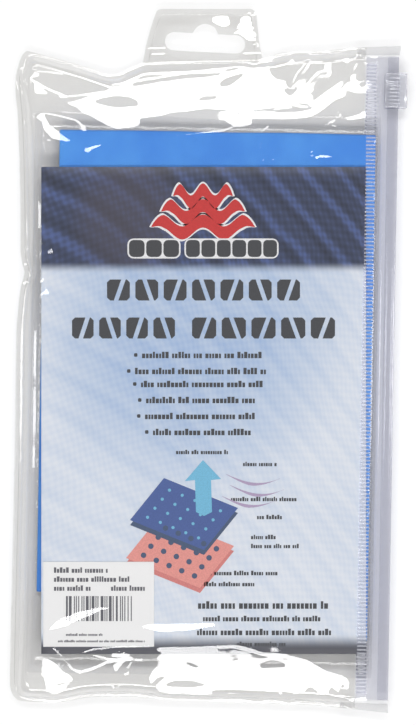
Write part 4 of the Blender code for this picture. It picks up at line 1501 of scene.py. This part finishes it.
class Print:
    """Printed shapes gathered by ink, each ink becoming one thin raised mesh."""

    def __init__(self, name: str, height: float) -> None:
        """Starts an empty print at a height in the frame."""
        self.name = name
        self.height = height
        self.shapes: dict[tuple[Ink, int], list[list[Point]]] = {}

    def add(self, ink: Ink, outline: Sequence[Point], layer: int = 0) -> None:
        """Adds one filled shape, its outline in photograph pixels."""
        self.shapes.setdefault((ink, layer), []).append(list(outline))

    def bar(
        self, ink: Ink, left: float, right: float, middle: float, height: float, layer: int = 0
    ) -> None:
        """Adds a bar with round ends."""
        radius = min(height / 2, (right - left) / 2) * 0.6
        corners = [
            ((right - radius, middle + height / 2 - radius), 0.0),
            ((left + radius, middle + height / 2 - radius), 90.0),
            ((left + radius, middle - height / 2 + radius), 180.0),
            ((right - radius, middle - height / 2 + radius), 270.0),
        ]
        outline: list[Point] = []
        for centre, start in corners:
            outline += arc_points(centre, radius, start, start + 90.0, 4)
        self.add(ink, outline, layer)

    def build(self, slot: Slot, node: str) -> list[bpy.types.Object]:
        """Makes one mesh for each ink and dresses it."""
        pieces = []
        for (ink, layer), outlines in self.shapes.items():
            points: list[list[float]] = []
            faces: list[list[int]] = []
            height = self.height + layer * 0.012 * MM
            for outline in outlines:
                pixels = np.array(outline, float)
                x, y = PHOTO.place(pixels[:, 0], pixels[:, 1])
                start = len(points)
                points += [[px, py, height] for px, py in zip(x, y)]
                faces.append(list(range(start, start + len(outline))))
            name = f"{self.name}_{ink.name.lower()}" + (f"_{layer}" if layer else "")
            piece = mesh_object(name, np.array(points), faces, smooth=False)
            self.face_up(piece)
            dress(piece, ink.value, slot)
            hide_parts(node)
            pieces.append(piece)
        return pieces

    @staticmethod
    def face_up(piece: bpy.types.Object) -> None:
        """Turns every printed face towards the front."""
        builder = bmesh.new()
        builder.from_mesh(piece.data)
        turned = [face for face in builder.faces if face.normal.z < 0]
        bmesh.ops.reverse_faces(builder, faces=turned)
        bmesh.ops.triangulate(builder, faces=builder.faces)
        builder.to_mesh(piece.data)
        builder.free()


@dataclass(frozen=True)
class WordRow:
    """A row of words shown as plain bars: its extent, middle and height in pixels."""

    left: float
    right: float
    middle: float
    height: float


@dataclass
class PrintedInsert:
    """The printed card with its generic print, and the white label on it."""

    size: Point = (101.6 * MM, 152.4 * MM)
    turn: float = math.radians(1.0)
    headline: tuple[WordRow, ...] = (
        WordRow(107, 300, 290, 21),
        WordRow(72, 175, 328, 21),
        WordRow(192, 335, 328, 21),
    )
    bullets: tuple[WordRow, ...] = (
        WordRow(142, 265, 355, 6.4),
        WordRow(135, 269, 371, 6.4),
        WordRow(141, 265, 384, 6.4),
        WordRow(146, 260, 400, 6.4),
        WordRow(145, 260, 416, 6.4),
        WordRow(153, 252, 432, 6.4),
    )
    captions: tuple[WordRow, ...] = (
        WordRow(176, 230, 452, 4.4),
        WordRow(243, 277, 464, 4.4),
        WordRow(231, 298, 499, 4.4),
        WordRow(257, 284, 517, 4.4),
        WordRow(251, 277, 537, 4.4),
        WordRow(251, 300, 546, 4.4),
        WordRow(204, 278, 573, 4.6),
        WordRow(204, 256, 584, 4.6),
    )
    footers: tuple[WordRow, ...] = (
        WordRow(198, 330, 605, 7.6),
        WordRow(203, 325, 618.5, 5.6),
        WordRow(197, 332, 632, 6.4),
        WordRow(237, 289, 644, 4.8),
    )
    label_rows: tuple[WordRow, ...] = (
        WordRow(54, 109, 570, 5.4),
        WordRow(54, 134, 579, 5.4),
        WordRow(54, 92, 588, 5.4),
        WordRow(111, 147, 588, 5.4),
        WordRow(66, 104, 634.5, 2.6),
        WordRow(58, 146, 641.0, 2.4),
    )

    def build(self) -> list[bpy.types.Object]:
        """Builds the card, its print and the label."""
        low, high = (np.array(corner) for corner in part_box("card"))
        centre = ((low[0] + high[0]) / 2, (low[1] + high[1]) / 2)
        card = self.slab("card_stock", centre, self.size, low[2], high[2])
        finish = PrintedCard("woven_card_print", centre, self.size, self.turn)
        dress(card, finish, Slot.CARD)
        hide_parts("card")
        pieces = [card]
        pieces += self.card_print(high[2] + 0.015 * MM).build(Slot.CARD, "card")
        low, high = (np.array(corner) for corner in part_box("label"))
        middle = ((low[0] + high[0]) / 2, (low[1] + high[1]) / 2)
        label = self.slab("label_sheet", middle, (34.7 * MM, 26.6 * MM), low[2], high[2])
        dress(label, LABEL_PAPER, Slot.LABEL)
        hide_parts("label")
        pieces.append(label)
        pieces += self.label_print(high[2] + 0.015 * MM).build(Slot.LABEL, "label")
        return pieces

    def slab(
        self, name: str, centre: Point, size: Point, low: float, high: float
    ) -> bpy.types.Object:
        """A thin flat sheet with rounded cut edges, turned as the card is."""
        builder = bmesh.new()
        bmesh.ops.create_grid(builder, x_segments=24, y_segments=36, size=0.5)
        for vertex in builder.verts:
            vertex.co = Vector((vertex.co.x * size[0], vertex.co.y * size[1], high - low))
        extruded = bmesh.ops.extrude_face_region(builder, geom=builder.faces[:])
        for item in extruded["geom"]:
            if isinstance(item, bmesh.types.BMVert):
                item.co.z = 0.0
        bmesh.ops.recalc_face_normals(builder, faces=builder.faces)
        place = Matrix.Translation((centre[0], centre[1], low)) @ Matrix.Rotation(self.turn, 4, "Z")
        bmesh.ops.transform(builder, matrix=place, verts=builder.verts)
        mesh = bpy.data.meshes.new(name)
        builder.to_mesh(mesh)
        builder.free()
        slab = link(mesh, name)
        round_edges(slab, min(0.05 * MM, (high - low) / 3), 2)
        return slab

    @staticmethod
    def words(sheet: Print, row: WordRow, ink: Ink, seed: int) -> None:
        """Fills a row with groups of small upright blocks, as words seen from afar."""
        chance = random.Random(seed)
        size = row.height
        base = row.middle + size / 2
        left = row.left
        while left < row.right - size * 0.4:
            for _ in range(chance.randint(3, 9)):
                width = size * chance.choice((0.32, 0.42, 0.50))
                if left + width > row.right:
                    break
                top = base - size * chance.choice((0.72, 0.72, 0.72, 1.0))
                sheet.add(ink, [(left, base), (left + width, base), (left + width, top), (left, top)])
                left += width + size * 0.12
            left += size * 0.42

    def card_print(self, height: float) -> Print:
        """All that is printed on the card over its ground."""
        sheet = Print("card_print", height)
        for row in self.headline:
            self.headline_blocks(sheet, row)
        for index, row in enumerate(self.bullets):
            self.words(sheet, row, Ink.DARK, 20 + index)
            sheet.bar(Ink.DARK, row.left - 8, row.left - 4.5, row.middle, 3.6)
        for index, row in enumerate(self.captions):
            self.words(sheet, row, Ink.DARK, 40 + index)
        for index, row in enumerate(self.footers):
            self.words(sheet, row, Ink.DARK, 60 + index)
        self.emblem(sheet)
        self.diagram(sheet)
        return sheet

    @staticmethod
    def headline_blocks(sheet: Print, row: WordRow) -> None:
        """A row of big tiles, each split by a slanting gap."""
        count = max(1, round((row.right - row.left) / 27.5))
        pitch = (row.right - row.left + 5.5) / count
        high, low = row.middle - row.height / 2, row.middle + row.height / 2
        for block in range(count):
            left = row.left + block * pitch
            right = left + pitch - 5.5
            near, far = (0.30, 0.62) if block % 2 else (0.62, 0.30)
            top = left + near * (right - left)
            foot = left + far * (right - left)
            corner = 3.0
            sheet.add(Ink.DARK, [
                (left + corner, high), (top, high), (foot, low), (left + corner, low),
                (left, low - corner), (left, high + corner),
            ])
            sheet.add(Ink.DARK, [
                (top + 4.5, high), (right - corner, high), (right, high + corner),
                (right, low - corner), (right - corner, low), (foot + 4.5, low),
            ])

    def emblem(self, sheet: Print) -> None:
        """A generic badge: three red waves with white rims over two rows of plain tiles."""
        for wave, half in enumerate((30.0, 42.0, 52.0)):
            middle = 196.0 + wave * 15.5
            for ink, layer, grow in ((Ink.WHITE, 0, 1.8), (Ink.RED, 1, 0.0)):
                sheet.add(ink, self.wave_outline(203.0, middle, half + grow, 6.6 + grow), layer)
        for left, right, count in ((129.0, 179.0, 3), (186.0, 277.0, 6)):
            sheet.bar(Ink.WHITE, left - 1.6, right + 1.6, 248.5, 20.0, 2)
            pitch = (right - left + 1.6) / count
            for block in range(count):
                start = left + block * pitch
                sheet.bar(Ink.DARK, start, start + pitch - 1.6, 248.5, 17.0, 3)

    @staticmethod
    def wave_outline(centre: float, middle: float, half: float, thick: float) -> list[Point]:
        """The outline of one thick wave with pointed ends."""
        places = np.linspace(-1.0, 1.0, 41)
        body = thick * np.clip((1 - np.abs(places)) * 4, 0, 1) ** 0.7
        line = middle - 6.0 * np.cos(places * 2.5 * math.pi)
        upper = list(zip(centre + places * half, line - body))
        lower = list(zip(centre + places * half, line + body))
        return [(float(a), float(b)) for a, b in upper + lower[::-1]]

    def diagram(self, sheet: Print) -> None:
        """A generic picture of stacked layers with a cooling arrow and air streams."""
        for base, side_ink, ink, layer in (
            ((180.0, 552.0), Ink.ROSE, Ink.PINK, 0),
            ((184.0, 514.0), Ink.DEEP, Ink.NAVY, 2),
        ):
            sheet.add(side_ink, self.tile((base[0], base[1] + 5.0)), layer)
            sheet.add(ink, self.tile(base), layer + 1)
        for row in range(4):
            for column in range(5):
                u, v = (column + 0.5) / 5 - 0.5, (row + 0.5) / 4 - 0.5
                for centre, ink in (((180.0, 552.0), Ink.DEEP), ((184.0, 514.0), Ink.AQUA)):
                    x, y = self.on_tile(centre, u * 0.86, v * 0.86)
                    size = 2.8 if ink is Ink.DEEP else 1.6
                    sheet.add(ink, arc_points((x, y), size, 0.0, 360.0, 12)[:-1], 4)
        for across, depth in ((226.0, 0.0), (230.0, 11.0), (222.0, 22.0)):
            points = np.linspace(0.0, 1.0, 13)
            upper = [(across + 54 * t, 474 + depth + 9 * math.sin(2.6 * t)) for t in points]
            lower = [(a, b + 3.4 * (1.0 - abs(2 * t - 0.9))) for (a, b), t in zip(upper, points)]
            sheet.add(Ink.MAUVE, upper + lower[::-1], 5)
        arrow = [
            (196, 512), (195, 480), (185, 481), (203, 460), (221, 479), (211, 480), (212, 512),
            (204, 516),
        ]
        sheet.add(Ink.AQUA, arrow, 6)

    @staticmethod
    def on_tile(centre: Point, u: float, v: float) -> Point:
        """A point of a slanting tile, u and v from -0.5 to 0.5."""
        return centre[0] + u * 74.0 + v * 34.0, centre[1] + u * 30.0 - v * 42.0

    def tile(self, centre: Point) -> list[Point]:
        """The outline of a slanting tile."""
        corners = ((-0.5, -0.5), (0.5, -0.5), (0.5, 0.5), (-0.5, 0.5))
        return [self.on_tile(centre, u, v) for u, v in corners]

    def label_print(self, height: float) -> Print:
        """The label's rows of words and its plain field of upright bars."""
        sheet = Print("label_print", height)
        for index, row in enumerate(self.label_rows):
            self.words(sheet, row, Ink.GREY, 80 + index)
        chance = random.Random(7)
        left = 66.0
        while left < 133.0:
            width = chance.choice((1.0, 1.0, 1.9, 2.8))
            sheet.add(Ink.GREY, [(left, 596), (left + width, 596), (left + width, 621), (left, 621)])
            left += width + chance.choice((1.0, 1.4, 2.2))
        return sheet


@dataclass
class Studio:
    """The floor, the soft lamps and the camera over the pack."""

    distance: float = 1.2
    plane: float = 7.5 * MM
    sensor: float = 36.0
    frame_height: float = 725 * 0.3128 * MM

    def build(self) -> None:
        """Makes the floor, the lamps, the world and the camera."""
        floor = mesh_object(
            "studio_floor",
            np.array([(-2, -2, 0), (2, -2, 0), (2, 2, 0), (-2, 2, 0)], float),
            [[0, 1, 2, 3]],
            smooth=False,
        )
        floor.data.materials.append(FLOOR.material())
        for lamp in (Lamp.HEAD, Lamp.FOOT):
            self.lamp(lamp, (1.10, 0.26), 10.0)
        for lamp in (Lamp.LEFT, Lamp.RIGHT):
            self.lamp(lamp, (0.11, 0.70), 8.0)
        world = bpy.data.worlds.new("studio_world")
        world.use_nodes = True
        world.node_tree.nodes["Background"].inputs["Color"].default_value = (1.0, 1.0, 1.0, 1.0)
        world.node_tree.nodes["Background"].inputs["Strength"].default_value = 0.15
        bpy.context.scene.world = world
        bpy.context.scene.view_settings.view_transform = "Standard"
        self.camera()

    def lamp(self, lamp: Lamp, size: Point, radiance: float) -> None:
        """A soft lamp that looks at the pack."""
        light = bpy.data.lights.new(f"{lamp.name.lower()}_lamp", "AREA")
        light.shape = "RECTANGLE"
        light.size, light.size_y = size
        light.energy = radiance * math.pi * size[0] * size[1]
        holder = bpy.data.objects.new(light.name, light)
        holder.location = lamp.value
        holder.rotation_euler = Vector(lamp.value).to_track_quat("Z", "Y").to_euler()
        bpy.context.scene.collection.objects.link(holder)

    def camera(self) -> None:
        """The camera straight over the photograph's middle, turned as the photograph is."""
        data = bpy.data.cameras.new("photo_camera")
        data.sensor_width = self.sensor
        data.lens = self.sensor * self.distance / self.frame_height
        holder = bpy.data.objects.new("photo_camera", data)
        holder.location = (*PHOTO.centre, self.plane + self.distance)
        holder.rotation_euler = (0.0, 0.0, PHOTO.turn)
        bpy.context.scene.collection.objects.link(holder)
        bpy.context.scene.camera = holder


def main() -> None:
    """Builds the pack piece by piece, then the studio round it."""
    logging.basicConfig(level=logging.INFO, format="%(name)s: %(message)s")
    pouch = VinylPouch()
    pouch.build()
    PressZip().build(pouch)
    ZipSlider().build()
    InnerBag().build()
    FoldedWrap().build()
    PrintedInsert().build()
    Studio().build()


if __name__ == "__main__":
    main()
